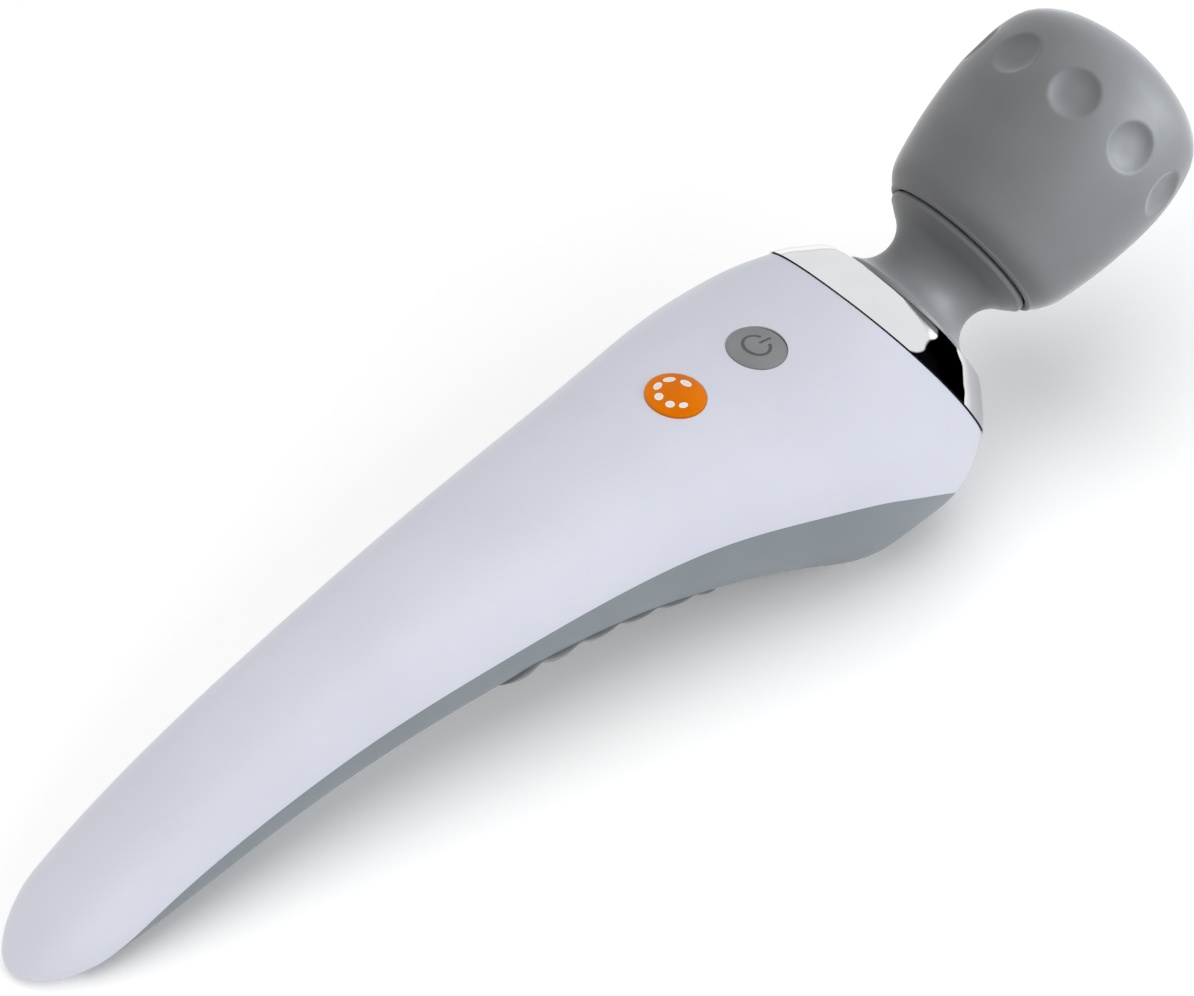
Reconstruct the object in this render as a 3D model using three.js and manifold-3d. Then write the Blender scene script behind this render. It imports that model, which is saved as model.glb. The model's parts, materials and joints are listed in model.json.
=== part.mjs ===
// Cordless wand massager: a vibrating silicone head on a flexible neck, a chrome collar,
// and a two-part handle that holds the cells, the control board and two push buttons.
// Millimetres, +Z up. The wand lies on its back: +X points to the head, the buttons face up,
// Z = 0 is the table, and the origin is the middle of the flat on the belly.
// Every X below is measured from the centre of the collar seam.
import * as THREE from 'three';
import { ParametricGeometry } from 'three/addons/geometries/ParametricGeometry.js';
import { mergeVertices } from 'three/addons/utils/BufferGeometryUtils.js';
import Module from 'manifold-3d';

const wasm = await Module();
wasm.setup();

// ---- Driving dimensions ----
const SEAM_HEIGHT = 37.1; // centre of the collar seam above the table
const BELLY_TO_SEAM = 27; // from the middle of the belly flat to the seam, along X
const HEAD_TILT = THREE.MathUtils.degToRad(27); // head axis above the table
const WALL = 2.4; // handle shell
const GAP = 0.3; // clearance between neighbouring pieces
const FULLNESS = 0.88; // 1 is an ellipse, less is squarer
const TAIL_ROUNDING = 16.5; // length over which the tail closes

// Sections of the handle from tail to collar. Each is measured from its widest line.
const STATIONS = [
  { x: -232, height: 1.4, lean: 24, wide: 11.4, front: 5.2, back: 4.2 },
  { x: -206, height: 10.7, lean: 22, wide: 15.4, front: 8.3, back: 8.0 },
  { x: -178, height: 20.7, lean: 18, wide: 17.2, front: 10.0, back: 12.6 },
  { x: -148, height: 28.1, lean: 12, wide: 19.2, front: 12.3, back: 15.0 },
  { x: -118, height: 33.3, lean: 6, wide: 22.6, front: 13.8, back: 17.0 },
  { x: -90, height: 36.9, lean: 2, wide: 26.2, front: 14.4, back: 20.8 },
  { x: -64, height: 38.1, lean: 1, wide: 31.0, front: 15.6, back: 27.0 },
  { x: -42, height: 36.4, lean: 5, wide: 37.0, front: 18.2, back: 33.2 },
  { x: -31, height: 35.1, lean: 9.5, wide: 39.2, front: 20.0, back: 37.3 },
  { x: -20, height: 34.0, lean: 15, wide: 40.0, front: 22.2, back: 33.0 },
  { x: -8, height: 35.2, lean: 22, wide: 37.9, front: 23.3, back: 31.6 },
  { x: 0, height: SEAM_HEIGHT, lean: 27, wide: 33.8, front: 23.9, back: 23.9 },
];
const TAIL_X = STATIONS[0].x;

// Side view of the line where the front and rear covers meet.
const PARTING = [
  [-224, -3], [-221, 1], [-214, 5.4], [-206, 9.8], [-178, 20.7], [-148, 28.1], [-118, 33.3], [-90, 36.9],
  [-64, 38.1], [-42, 36.3], [-30, 33.8], [-19, 29], [-10, 23], [-2, 14.5], [2, 8], [4, 2],
];

const PAD = { start: -119, end: -59, halfWidth: 21, corner: 9, ridges: 6, proud: 0.4, ridge: 1.1, inset: 1.3 };
const BUTTON = { halfLength: 6.2, halfWidth: 7.8, top: 55.3 };
const BUTTON_X = { power: -32.6, mode: -55 };
const BOARD = { start: -64, end: -17, halfWidth: 17, bottom: 42.9, thick: 1.6 };
const CELL = { radius: 9.25, length: 65, start: -120, height: 32.5, side: 9.4 };
const HEAD_RIM = 29.3; // collar seam to head rim, along the head axis
const NECK = { waist: 12.3, waistAt: 18.6, hollow: 8, wall: 2.2, root: 17.3, bead: 18.5 };
const MOTOR = { radius: 12, start: 41, length: 28, shaft: 1.5 };
const JACK_X = -207;

// ---- Materials ----
const finish = (color, roughness, metalness = 0) => ({ color, roughness, metalness });
const WHITE_ABS = finish(0xe0e0e6, 0.32);
const GREY_ABS = finish(0x98a2a2, 0.42);
const PAD_RUBBER = finish(0x747c7f, 0.7);
const HEAD_SILICONE = finish(0x7d8285, 0.6);
const CHROME = finish(0xe8e8ea, 0.06, 1);
const BUTTON_GREY = finish(0x8e9292, 0.4);
const BUTTON_ORANGE = finish(0xe07c08, 0.4);
const BLACK_RUBBER = finish(0x1b1c1e, 0.8);
const NYLON = finish(0xd9d6cc, 0.5);
const POD_PLASTIC = finish(0x4a4d50, 0.5);
const STEEL = finish(0xb5b8bb, 0.3, 1);
const BRASS = finish(0xc9a24b, 0.35, 1);
const COPPER = finish(0xb8703c, 0.35, 1);
const NICKEL = finish(0xcfcdc4, 0.25, 1);
const MAGNET = finish(0x3a3a3c, 0.6);
const CELL_WRAP = finish(0x2c62a8, 0.4);
const FOAM = finish(0x4c4c4c, 0.95);
const BOARD_GREEN = finish(0x1d5a38, 0.5);
const CHIP_BLACK = finish(0x202124, 0.5);
const WIRE_RED = finish(0xb3231d, 0.5);
const WIRE_BLACK = finish(0x1a1a1a, 0.5);

// ---- Solids ----
const group = new THREE.Group();
const wand = new THREE.Group();
wand.position.x = BELLY_TO_SEAM;
group.add(wand);
const headFrame = new THREE.Group(); // local X runs along the head axis from the seam
headFrame.position.set(0, 0, SEAM_HEIGHT);
headFrame.rotation.y = -HEAD_TILT;
wand.add(headFrame);

function toSolid(geometry) {
  const bare = geometry.clone();
  bare.deleteAttribute('normal');
  bare.deleteAttribute('uv');
  const merged = mergeVertices(bare, 1e-4);
  const corners = merged.index.array;
  const [a, b, c] = [new THREE.Vector3(), new THREE.Vector3(), new THREE.Vector3()];
  const triangles = [];
  let volume = 0;
  for (let i = 0; i < corners.length; i += 3) {
    const [p, q, r] = corners.slice(i, i + 3);
    if (p === q || q === r || r === p) continue;
    triangles.push(p, q, r);
    a.fromBufferAttribute(merged.attributes.position, p);
    b.fromBufferAttribute(merged.attributes.position, q);
    c.fromBufferAttribute(merged.attributes.position, r);
    volume += a.dot(b.cross(c));
  }
  if (volume < 0) triangles.reverse();
  const vertProperties = Float32Array.from(merged.attributes.position.array);
  return new wasm.Manifold(new wasm.Mesh({ numProp: 3, vertProperties, triVerts: Uint32Array.from(triangles) }));
}

function toGeometry(solid) {
  const mesh = solid.getMesh();
  const geometry = new THREE.BufferGeometry();
  geometry.setAttribute('position', new THREE.BufferAttribute(mesh.vertProperties, 3));
  geometry.setIndex(new THREE.BufferAttribute(mesh.triVerts, 1));
  geometry.computeVertexNormals();
  return geometry;
}

function addPiece(name, solid, material, parent = wand) {
  const mesh = new THREE.Mesh(toGeometry(solid), new THREE.MeshStandardMaterial(material));
  mesh.name = name;
  parent.add(mesh);
}

function block(x0, x1, y0, y1, z0, z1) {
  const geometry = new THREE.BoxGeometry(x1 - x0, y1 - y0, z1 - z0);
  return toSolid(geometry.translate((x0 + x1) / 2, (y0 + y1) / 2, (z0 + z1) / 2));
}

// Round post standing along Z.
function post(x, y, z0, z1, radius, segments = 16) {
  const geometry = new THREE.CylinderGeometry(radius, radius, z1 - z0, segments);
  return toSolid(geometry.rotateX(Math.PI / 2).translate(x, y, (z0 + z1) / 2));
}

// Solid of revolution about X. The profile is a list of [x, radius].
function turned(profile, segments = 20) {
  const points = profile.map(([x, radius]) => new THREE.Vector2(radius, x));
  const open = profile[0][1] > 0 || profile.at(-1)[1] > 0;
  if (open) points.push(points[0].clone());
  return toSolid(new THREE.LatheGeometry(points, segments).rotateZ(-Math.PI / 2));
}

function tube(x0, x1, inner, outer, segments = 20) {
  return turned([[x0, inner], [x0, outer], [x1, outer], [x1, inner]], segments);
}

// Upright prism of an oval, centred on (x, 0).
function ovalPrism(x, grow, z0, z1) {
  const shape = new THREE.Shape();
  shape.absellipse(0, 0, BUTTON.halfLength + grow, BUTTON.halfWidth + grow, 0, Math.PI * 2);
  const geometry = new THREE.ExtrudeGeometry(shape, { depth: z1 - z0, bevelEnabled: false, curveSegments: 10 });
  return toSolid(geometry.translate(x, 0, z0));
}

function wire(points, radius, steps, sides) {
  const path = new THREE.CatmullRomCurve3(points.map((point) => new THREE.Vector3(...point)));
  const shape = new THREE.Shape();
  shape.absarc(0, 0, radius, 0, Math.PI * 2);
  const options = { steps, extrudePath: path, curveSegments: sides, bevelEnabled: false };
  return toSolid(new THREE.ExtrudeGeometry(shape, options));
}

// Pan-head screw along Z, head down and tip up.
function screw(x, y, headZ, length, headRadius, shankRadius) {
  const headHeight = headRadius * 0.7;
  const profile = [
    [headZ - headHeight, 0], [headZ - headHeight, headRadius * 0.8], [headZ - headHeight * 0.6, headRadius],
    [headZ, headRadius], [headZ, shankRadius], [headZ + length, shankRadius], [headZ + length + 1, 0],
  ];
  return turned(profile, 8).rotate([0, -90, 0]).translate([x, y, 0]);
}

// ---- Handle skin ----
const skinCurve = new THREE.CubicInterpolant(
  STATIONS.map((station) => station.x),
  STATIONS.flatMap(({ height, lean, wide, front, back }) => [height, lean, wide, front, back]),
  5,
);

const bulge = (value) => Math.sign(value) * Math.abs(value) ** FULLNESS;

// A point of the skin, moved in by inset. Angle 0 is the widest line, 90 degrees is the front.
function skinPoint(x, angle, inset, target) {
  const [height, lean, wide, front, back] = skinCurve.evaluate(x);
  const reach = THREE.MathUtils.clamp((x - TAIL_X - inset) / (TAIL_ROUNDING - inset), 0, 1);
  const closing = Math.sqrt(1 - (1 - reach) ** 2);
  const depth = Math.sin(angle) > 0 ? front - inset : back - inset;
  const rise = ((front - back) / 2) * (1 - closing) + bulge(Math.sin(angle)) * depth * closing;
  const tilt = THREE.MathUtils.degToRad(lean);
  const side = bulge(Math.cos(angle)) * (wide - inset) * closing;
  return target.set(x - rise * Math.sin(tilt), side, height + rise * Math.cos(tilt));
}

// Rows that follow the rounded tail closely and crowd together again at the seam.
function skinRows(inset, tailRows, bodyRows) {
  const start = TAIL_X + inset;
  const bend = TAIL_ROUNDING - inset;
  const rows = [];
  for (let i = 0; i < tailRows; i += 1) rows.push(start + bend * (1 - Math.cos((i / tailRows) * (Math.PI / 2))));
  for (let i = 0; i <= bodyRows; i += 1) {
    const crowding = 1.4;
    rows.push(THREE.MathUtils.lerp(0, start + bend, (1 - i / bodyRows) ** crowding));
  }
  return rows;
}

// Closed solid inside the skin. insetAt gives the inset at each x, and the solid can run on past the seam.
function skinSolid(rows, insetAt, slices, overrun = 0) {
  const centre = (x, target) => {
    const height = skinCurve.evaluate(x)[0];
    return target.set(x, 0, height);
  };
  const last = rows.at(-1);
  const rings = [...rows.map((x) => ({ x }))];
  if (rows[0] > TAIL_X + insetAt(rows[0])) rings.unshift({ x: rows[0], closed: true });
  if (overrun > 0) rings.push({ x: last, shift: overrun });
  rings.push({ x: last, shift: overrun, closed: true });
  const place = (u, v, target) => {
    const { x, closed, shift = 0 } = rings[Math.round(v * (rings.length - 1))];
    if (closed) centre(x, target);
    else skinPoint(x, (u % 1) * Math.PI * 2, insetAt(x), target);
    target.x += shift * Math.cos(HEAD_TILT);
    target.z += shift * Math.sin(HEAD_TILT);
  };
  return toSolid(new ParametricGeometry(place, slices, rings.length - 1));
}

const skinInset = (inset, slices, tailRows, bodyRows, overrun) =>
  skinSolid(skinRows(inset, tailRows, bodyRows), () => inset, slices, overrun);

// The belly dips a little below the table plane and is cut flat there.
const outerSkin = skinInset(0, 28, 4, 15).subtract(block(-60, 20, -60, 60, -20, 0));
const innerSkin = skinInset(WALL, 18, 3, 9, 1.5);
const insideWall = skinInset(1, 18, 3, 9);

// Everything behind the parting line, shifted along Z to leave half the seam gap.
function behindParting(shift) {
  const shape = new THREE.Shape();
  shape.moveTo(...PARTING[0]);
  shape.splineThru(PARTING.slice(1).map(([x, z]) => new THREE.Vector2(x, z)));
  shape.lineTo(PARTING.at(-1)[0], -20);
  shape.lineTo(PARTING[0][0], -20);
  const geometry = new THREE.ExtrudeGeometry(shape, { depth: 120, bevelEnabled: false, curveSegments: 1 });
  return toSolid(geometry.rotateX(Math.PI / 2).translate(0, 60, shift));
}

// Rounded plan shape of the grip pad, cut through the back of the handle.
function padPlan(grow) {
  const { start, end, halfWidth, corner } = PAD;
  const [x0, x1, half, radius] = [start - grow, end + grow, halfWidth + grow, corner + grow];
  const shape = new THREE.Shape();
  shape.absarc(x1 - radius, half - radius, radius, 0, Math.PI / 2);
  shape.absarc(x0 + radius, half - radius, radius, Math.PI / 2, Math.PI);
  shape.absarc(x0 + radius, radius - half, radius, Math.PI, Math.PI * 1.5);
  shape.absarc(x1 - radius, radius - half, radius, Math.PI * 1.5, Math.PI * 2);
  const geometry = new THREE.ExtrudeGeometry(shape, { depth: 36, bevelEnabled: false, curveSegments: 5 });
  return toSolid(geometry.translate(0, 0, -10));
}

// ---- Handle covers ----
const CASE_SCREWS = [
  { x: -16, y: 25, split: 29, head: 23, headRadius: 2.7 },
  { x: -16, y: -25, split: 29, head: 23, headRadius: 2.7 },
  { x: -189, y: 0, split: 15, head: 11, headRadius: 2.2 },
];
const BOARD_SCREWS = [[-60, 13.5], [-60, -13.5], [-22, 13.5], [-22, -13.5]];
const boardTop = BOARD.bottom + BOARD.thick;

const jackFrame = new THREE.Group(); // local -Z points out of the back of the tail
const [jackHeight, jackLean] = skinCurve.evaluate(JACK_X);
jackFrame.rotation.y = -THREE.MathUtils.degToRad(jackLean);
skinPoint(JACK_X, -Math.PI / 2, 0, jackFrame.position);
wand.add(jackFrame);
const inJackFrame = (solid) => {
  const { x, z } = jackFrame.position;
  return solid.rotate([0, -jackLean, 0]).translate([x, 0, z]);
};

const shell = outerSkin.subtract(innerSkin);

function makeFrontCover() {
  let cover = shell.subtract(behindParting(GAP / 2));
  for (const { x, y, split } of CASE_SCREWS) {
    const boss = post(x, y, split + GAP, 60, 3.8).intersect(insideWall);
    cover = cover.add(boss).subtract(post(x, y, split, split + 8, 1.6, 12));
  }
  for (const [x, y] of BOARD_SCREWS) {
    const boss = post(x, y, boardTop + GAP, 60, 2.4, 12).intersect(insideWall);
    cover = cover.add(boss).subtract(post(x, y, boardTop, boardTop + 5, 1.3, 10));
  }
  for (const x of Object.values(BUTTON_X)) cover = cover.subtract(ovalPrism(x, GAP, 45, 60));
  return cover;
}

function makeRearCover() {
  let cover = shell.intersect(behindParting(-GAP / 2));
  for (const x of [-113, -66]) {
    const rib = block(x, x + 2, -20, 20, -5, 21.5).intersect(insideWall);
    cover = cover.add(rib);
  }
  for (const { x, y, split, head, headRadius } of CASE_SCREWS) {
    const boss = post(x, y, -5, split, headRadius + 1.5).intersect(insideWall);
    cover = cover.add(boss).subtract(post(x, y, -5, head + GAP, headRadius + 0.4));
    cover = cover.subtract(post(x, y, head, split + 1, 1.7, 12));
  }
  const recess = padPlan(GAP).subtract(skinInset(PAD.inset + GAP, 28, 2, 15));
  const jackHole = inJackFrame(post(0, 0, -3, 12, 4.3, 20));
  return cover.subtract(recess).subtract(jackHole);
}

function makeGripPad() {
  const pitch = (PAD.end - PAD.start) / PAD.ridges;
  const rows = [];
  const stepsPerRidge = 4;
  for (let i = -1; i <= PAD.ridges * stepsPerRidge + 1; i += 1) rows.push(PAD.start + (i * pitch) / stepsPerRidge);
  const wave = (x) => 0.5 - 0.5 * Math.cos(((x - PAD.start) / pitch) * Math.PI * 2);
  const crest = skinSolid(rows, (x) => -PAD.proud - PAD.ridge * wave(x), 28);
  return crest.intersect(padPlan(0)).subtract(skinInset(PAD.inset, 28, 2, 15));
}

addPiece('front_cover', makeFrontCover(), WHITE_ABS);
addPiece('rear_cover', makeRearCover(), GREY_ABS);
addPiece('grip_pad', makeGripPad(), PAD_RUBBER);
CASE_SCREWS.forEach(({ x, y, head, headRadius }, i) => {
  addPiece(`case_screw_${i + 1}`, screw(x, y, head, headRadius * 3.6, headRadius, 1.2), STEEL);
});

// ---- Chrome collar and gasket: rings of half width and half depth about the head axis ----
function collarRing(rings) {
  const closed = [...rings, rings[0]];
  const place = (u, v, target) => {
    const [along, wide, deep] = closed[Math.round(v * rings.length)];
    const angle = (u % 1) * Math.PI * 2;
    target.set(along, bulge(Math.cos(angle)) * wide, bulge(Math.sin(angle)) * deep);
  };
  return toSolid(new ParametricGeometry(place, 32, rings.length));
}

const seam = STATIONS.at(-1);
const COLLAR = { start: 0.8, skirt: -3.5, mouth: 18.2, top: 9.7 };
addPiece('chrome_collar', collarRing([
  [COLLAR.start, seam.wide + 0.3, seam.front + 0.3],
  [3.2, 31.4, 23.5],
  [6.0, 28.2, 22.3],
  [8.4, 25.2, 21.0],
  [9.3, 24.0, 20.4],
  [COLLAR.top, 22.8, 19.8],
  [COLLAR.top, COLLAR.mouth, COLLAR.mouth],
  [8.0, COLLAR.mouth, COLLAR.mouth],
  [5.0, 26.0, 19.6],
  [COLLAR.skirt, 29.4, 19.7],
  [COLLAR.skirt, 30.8, 21.0],
  [COLLAR.start, 30.8, 21.0],
]), CHROME, headFrame);
addPiece('collar_gasket', collarRing([
  [0.1, 31.2, 21.4], [0.7, 31.2, 21.4], [0.7, 33.3, 23.4], [0.1, 33.3, 23.4],
]), BLACK_RUBBER, headFrame);

// ---- Neck ----
const NECK_LOW = 11.2; // where the hollow of the boot begins
const NECK_HIGH = 2 * NECK.waistAt - NECK_LOW;
function hollowCurve(x, radius, start) {
  const reach = Math.min(radius, Math.abs(x - NECK.waistAt));
  return start + radius - Math.sqrt(radius ** 2 - reach ** 2);
}

function makeNeckBoot() {
  const steps = 5;
  const outer = [];
  const inner = [];
  for (let i = 0; i <= steps; i += 1) {
    const x = THREE.MathUtils.lerp(NECK_LOW, NECK_HIGH, i / steps);
    outer.push([x, hollowCurve(x, NECK.hollow, NECK.waist)]);
    inner.push([x, hollowCurve(x, NECK.hollow + NECK.wall, NECK.waist - NECK.wall)]);
  }
  return turned([
    [3.2, 15.4], [3.2, 17.6], [10, NECK.root], ...outer,
    [26.3, 18.2], [28.5, NECK.bead], [28.9, 18], [28.9, 16.2], [27, 16.2], ...inner.reverse(), [9.6, 15.4],
  ], 20);
}

function makeNeckSpring() {
  const turns = 5;
  const [start, end, radius] = [10.7, 25, 7.7];
  const points = [];
  for (let i = 0; i <= turns * 8; i += 1) {
    const angle = (i / 8) * Math.PI * 2;
    const along = THREE.MathUtils.lerp(start, end, i / (turns * 8));
    points.push([along, radius * Math.cos(angle), radius * Math.sin(angle)]);
  }
  return wire(points, 1.0, turns * 9, 2);
}

addPiece('neck_socket', turned([
  [0.2, 8.5], [0.2, 19.2], [2.8, 19.2], [2.8, 15.0], [9.2, 14.6], [9.2, 8.5],
]), POD_PLASTIC, headFrame);
addPiece('neck_boot', makeNeckBoot(), HEAD_SILICONE, headFrame);
addPiece('neck_spring', makeNeckSpring(), STEEL, headFrame);

const POD_SCREW_ANGLES = [0, 120, 240];
const POD_SCREW_RADIUS = 11;
// A round hole or pin along the head axis, at one of the pod screws.
const atPodScrew = (solid, angle) => solid.translate([0, 0, POD_SCREW_RADIUS]).rotate([angle, 0, 0]);

function makeNeckFlange() {
  let flange = turned([[26.5, 6.5], [26.5, 12.6], [27.4, 15.8], [32.4, 15.8], [32.4, 6.5]]);
  for (const angle of POD_SCREW_ANGLES) {
    flange = flange.subtract(atPodScrew(tube(26, 29.6, 0, 2.7, 12), angle));
    flange = flange.subtract(atPodScrew(tube(29, 33, 0, 1.5, 10), angle));
  }
  return flange;
}
addPiece('neck_flange', makeNeckFlange(), POD_PLASTIC, headFrame);

// ---- Head: silicone cover over a two-part pod ----
// Outer profile, from the rim: distance along the axis and radius.
const HEAD_PROFILE = [
  [0.5, 20.9], [3.4, 23.5], [8.9, 25.4], [16, 26.9], [24, 28.1], [32, 28.7], [39, 28.5],
  [45, 27.5], [50, 25.7], [54, 21.9], [56.8, 15.9], [58.8, 9.2], [59.5, 0],
];
const HEAD_BORE = [
  [56.7, 0], [56.2, 5.2], [54.6, 13.2], [51.2, 20], [46, 23.8], [36, 25.7], [24, 25.1], [6, 21.8], [2.2, 19.6],
  [0.7, 18.9], [0, 19.6],
];
const DIMPLE = { count: 10, fromRim: 37.5, bowl: 13, depth: 1.5, turn: 8.5 }; // turn in degrees towards +Y

function makeHeadCover() {
  const fromSeam = ([x, radius]) => [x + HEAD_RIM, radius];
  let cover = turned([...HEAD_BORE, ...HEAD_PROFILE].map(fromSeam), 30);
  const wall = 28.6;
  for (let i = 0; i < DIMPLE.count; i += 1) {
    const bowl = new THREE.SphereGeometry(DIMPLE.bowl, 16, 12);
    bowl.translate(HEAD_RIM + DIMPLE.fromRim, 0, wall + DIMPLE.bowl - DIMPLE.depth);
    bowl.rotateX((i / DIMPLE.count) * Math.PI * 2 - THREE.MathUtils.degToRad(DIMPLE.turn));
    cover = cover.subtract(toSolid(bowl));
  }
  return cover;
}

const POD_SPLIT = 57;
function makePodBase() {
  let base = turned([
    [32.9, 5], [32.9, 17.8], [35.6, 20.8], [44, 22.8], [POD_SPLIT, 24.6],
    [POD_SPLIT, 22.8], [44, 21], [36.5, 18.8], [35.6, 17.5], [35.6, 5],
  ], 20);
  for (const angle of POD_SCREW_ANGLES) base = base.subtract(atPodScrew(tube(32, 37, 0, 1.5, 10), angle));
  return base;
}

addPiece('head_cover', makeHeadCover(), HEAD_SILICONE, headFrame);
addPiece('head_pod_base', makePodBase(), POD_PLASTIC, headFrame);
addPiece('head_pod_top', turned([
  [POD_SPLIT + GAP, 22.9], [POD_SPLIT + GAP, 24.5], [64, 24.6], [71, 23.8], [76.6, 21.6], [79.6, 18.8],
  [82.4, 13], [84.9, 4], [84.9, 0], [83.3, 0], [83.3, 3.4], [78.7, 3.4], [78.7, 5.2], [81.9, 5.2],
  [80, 12.2], [77.4, 17.2], [74.6, 20], [64, 23],
], 20), POD_PLASTIC, headFrame);

function podScrew(angle) {
  return atPodScrew(turned([[27.1, 0], [27.1, 2], [29.3, 2.2], [29.3, 1.1], [36, 1.1], [36.8, 0]], 8), angle);
}
POD_SCREW_ANGLES.forEach((angle, i) => addPiece(`pod_screw_${i + 1}`, podScrew(angle), STEEL, headFrame));

// ---- Motor, turning about the head axis ----
const motorEnd = MOTOR.start + MOTOR.length;
addPiece('motor_can', turned([
  [MOTOR.start + 1.8, 11.2], [MOTOR.start + 1.8, MOTOR.radius], [motorEnd - 0.6, MOTOR.radius],
  [motorEnd, 11.4], [motorEnd, 2], [motorEnd - 0.8, 2], [motorEnd - 0.8, 11.2],
]), STEEL, headFrame);
addPiece('motor_end_bell', turned([
  [MOTOR.start - 1, 2], [MOTOR.start - 1, 4], [MOTOR.start, 4], [MOTOR.start, 11.6],
  [MOTOR.start + 1.5, 11.6], [MOTOR.start + 1.5, 10.6], [MOTOR.start + 4, 10.6], [MOTOR.start + 4, 9.4],
  [MOTOR.start + 1.5, 9.4], [MOTOR.start + 1.5, 2],
]), NYLON, headFrame);
const magnetSlot = block(40, 70, -1.5, 1.5, -14, 14);
const magnetRing = tube(MOTOR.start + 5, motorEnd - 3, 8.8, 10.7).subtract(magnetSlot);
const [magnetLeft, magnetRight] = magnetRing.decompose();
addPiece('motor_magnet_left', magnetLeft, MAGNET, headFrame);
addPiece('motor_magnet_right', magnetRight, MAGNET, headFrame);
const SLOT = { width: 5, floor: 3.6 }; // the three winding slots of the armature
let armature = tube(MOTOR.start + 7, motorEnd - 5, 1.9, 8.2, 18);
for (const angle of [60, 180, 300]) {
  const slot = block(MOTOR.start, motorEnd, -SLOT.width / 2, SLOT.width / 2, SLOT.floor, 12);
  armature = armature.subtract(slot.rotate([angle, 0, 0]));
}
addPiece('motor_armature', armature, COPPER, headFrame);
addPiece('motor_shaft', turned([
  [MOTOR.start - 0.5, 0], [MOTOR.start - 0.5, MOTOR.shaft], [81.9, MOTOR.shaft], [81.9, 0],
], 12), STEEL, headFrame);
const weightCut = block(60, 90, -20, 20, 1, 20); // leaves the lower half, where gravity holds it
addPiece('eccentric_weight', tube(motorEnd + 1, motorEnd + 5.4, 1.9, 10, 24).subtract(weightCut), BRASS, headFrame);
addPiece('shaft_bearing', tube(78.9, 82.1, 1.9, 3.1, 16), BRASS, headFrame);
addPiece('motor_ring_lower', tube(45, 49, MOTOR.radius + GAP, 20.7), NYLON, headFrame);
addPiece('motor_ring_upper', tube(61, 65, MOTOR.radius + GAP, 22.5), NYLON, headFrame);

// ---- Buttons, switches and control board ----
function makeButton(x) {
  const cap = ovalPrism(x, 0, 51, BUTTON.top - 0.5);
  const crown = ovalPrism(x, -0.7, 51, BUTTON.top);
  const flange = ovalPrism(x, 1.4, 50, 51);
  return cap.add(crown).add(flange).add(post(x, 0, 48.8, 50.5, 2));
}

function makeSwitchBody(x) {
  const body = block(x - 3, x + 3, -3, 3, boardTop + 0.1, 48);
  return body.subtract(post(x, 0, 46, 49, 1.9));
}

for (const [name, x] of Object.entries(BUTTON_X)) {
  addPiece(`${name}_button`, makeButton(x), name === 'power' ? BUTTON_GREY : BUTTON_ORANGE);
  addPiece(`${name}_switch_plunger`, post(x, 0, 47, 48.6, 1.6, 12), CHIP_BLACK);
  addPiece(`${name}_switch_body`, makeSwitchBody(x), CHIP_BLACK);
}

function makeBoard() {
  let board = block(BOARD.start, BOARD.end, -BOARD.halfWidth, BOARD.halfWidth, BOARD.bottom, boardTop);
  for (const [x, y] of BOARD_SCREWS) board = board.subtract(post(x, y, 42, 46, 1.4, 10));
  return board;
}
addPiece('circuit_board', makeBoard(), BOARD_GREEN);
BOARD_SCREWS.forEach(([x, y], i) => {
  addPiece(`board_screw_${i + 1}`, screw(x, y, BOARD.bottom - 0.1, 5.6, 1.9, 0.9), STEEL);
});
const underBoard = BOARD.bottom - 0.1;
addPiece('control_chip', block(-47.5, -39.5, -4, 4, boardTop + 0.1, boardTop + 1.4), CHIP_BLACK);
addPiece('motor_driver', block(-27, -21, -3, 3, boardTop + 0.1, boardTop + 2.4), CHIP_BLACK);
addPiece('filter_capacitor', post(-30, 8, 34.5, underBoard, 3.2, 14), finish(0x2a3550, 0.4));
addPiece('boost_coil', post(-30, -8, 38, underBoard, 4, 14), COPPER);
addPiece('battery_plug', block(-48, -43, -4, 4, 37.5, underBoard), NYLON);

// ---- Cells in their cradle ----
const cellEnd = CELL.start + CELL.length;
function makeCell(side) {
  const tip = 1.2;
  return turned([
    [CELL.start, 0], [CELL.start, CELL.radius - 0.6], [CELL.start + 0.6, CELL.radius],
    [cellEnd - tip - 0.6, CELL.radius], [cellEnd - tip, CELL.radius - 0.6], [cellEnd - tip, 3.4],
    [cellEnd, 3.2], [cellEnd, 0],
  ]).translate([0, side * CELL.side, CELL.height]);
}
function makeCradle() {
  let cradle = block(CELL.start - 0.5, cellEnd + 0.5, -12.5, 12.5, 21.9, 28);
  for (const side of [-1, 1]) {
    const bed = tube(CELL.start - 5, cellEnd + 5, 0, CELL.radius + GAP);
    cradle = cradle.subtract(bed.translate([0, side * CELL.side, CELL.height]));
  }
  return cradle;
}
addPiece('battery_cell_left', makeCell(1), CELL_WRAP);
addPiece('battery_cell_right', makeCell(-1), CELL_WRAP);
addPiece('battery_cradle', makeCradle(), NYLON);
addPiece('battery_foam', block(-104, -72, -11, 11, 42.1, 43.8), FOAM);
const tabAt = (x0, y0, y1) => block(x0, x0 + 0.3, y0, y1, CELL.height - 3, CELL.height + 3);
addPiece('series_tab', tabAt(CELL.start - 0.6, -13, 13), NICKEL);
addPiece('positive_tab', tabAt(cellEnd + 0.3, 6, 12.8), NICKEL);
addPiece('negative_tab', tabAt(cellEnd + 0.3, -12.8, -6), NICKEL);

// ---- Charging jack in the back of the tail ----
const socket = post(0, 0, 0.4, 9.4, 3.9, 20).subtract(post(0, 0, -1, 8.2, 2.8, 20));
addPiece('charge_jack', socket, CHIP_BLACK, jackFrame);
addPiece('charge_pin', post(0, 0, 2, 7.9, 0.8, 10), BRASS, jackFrame);

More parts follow.
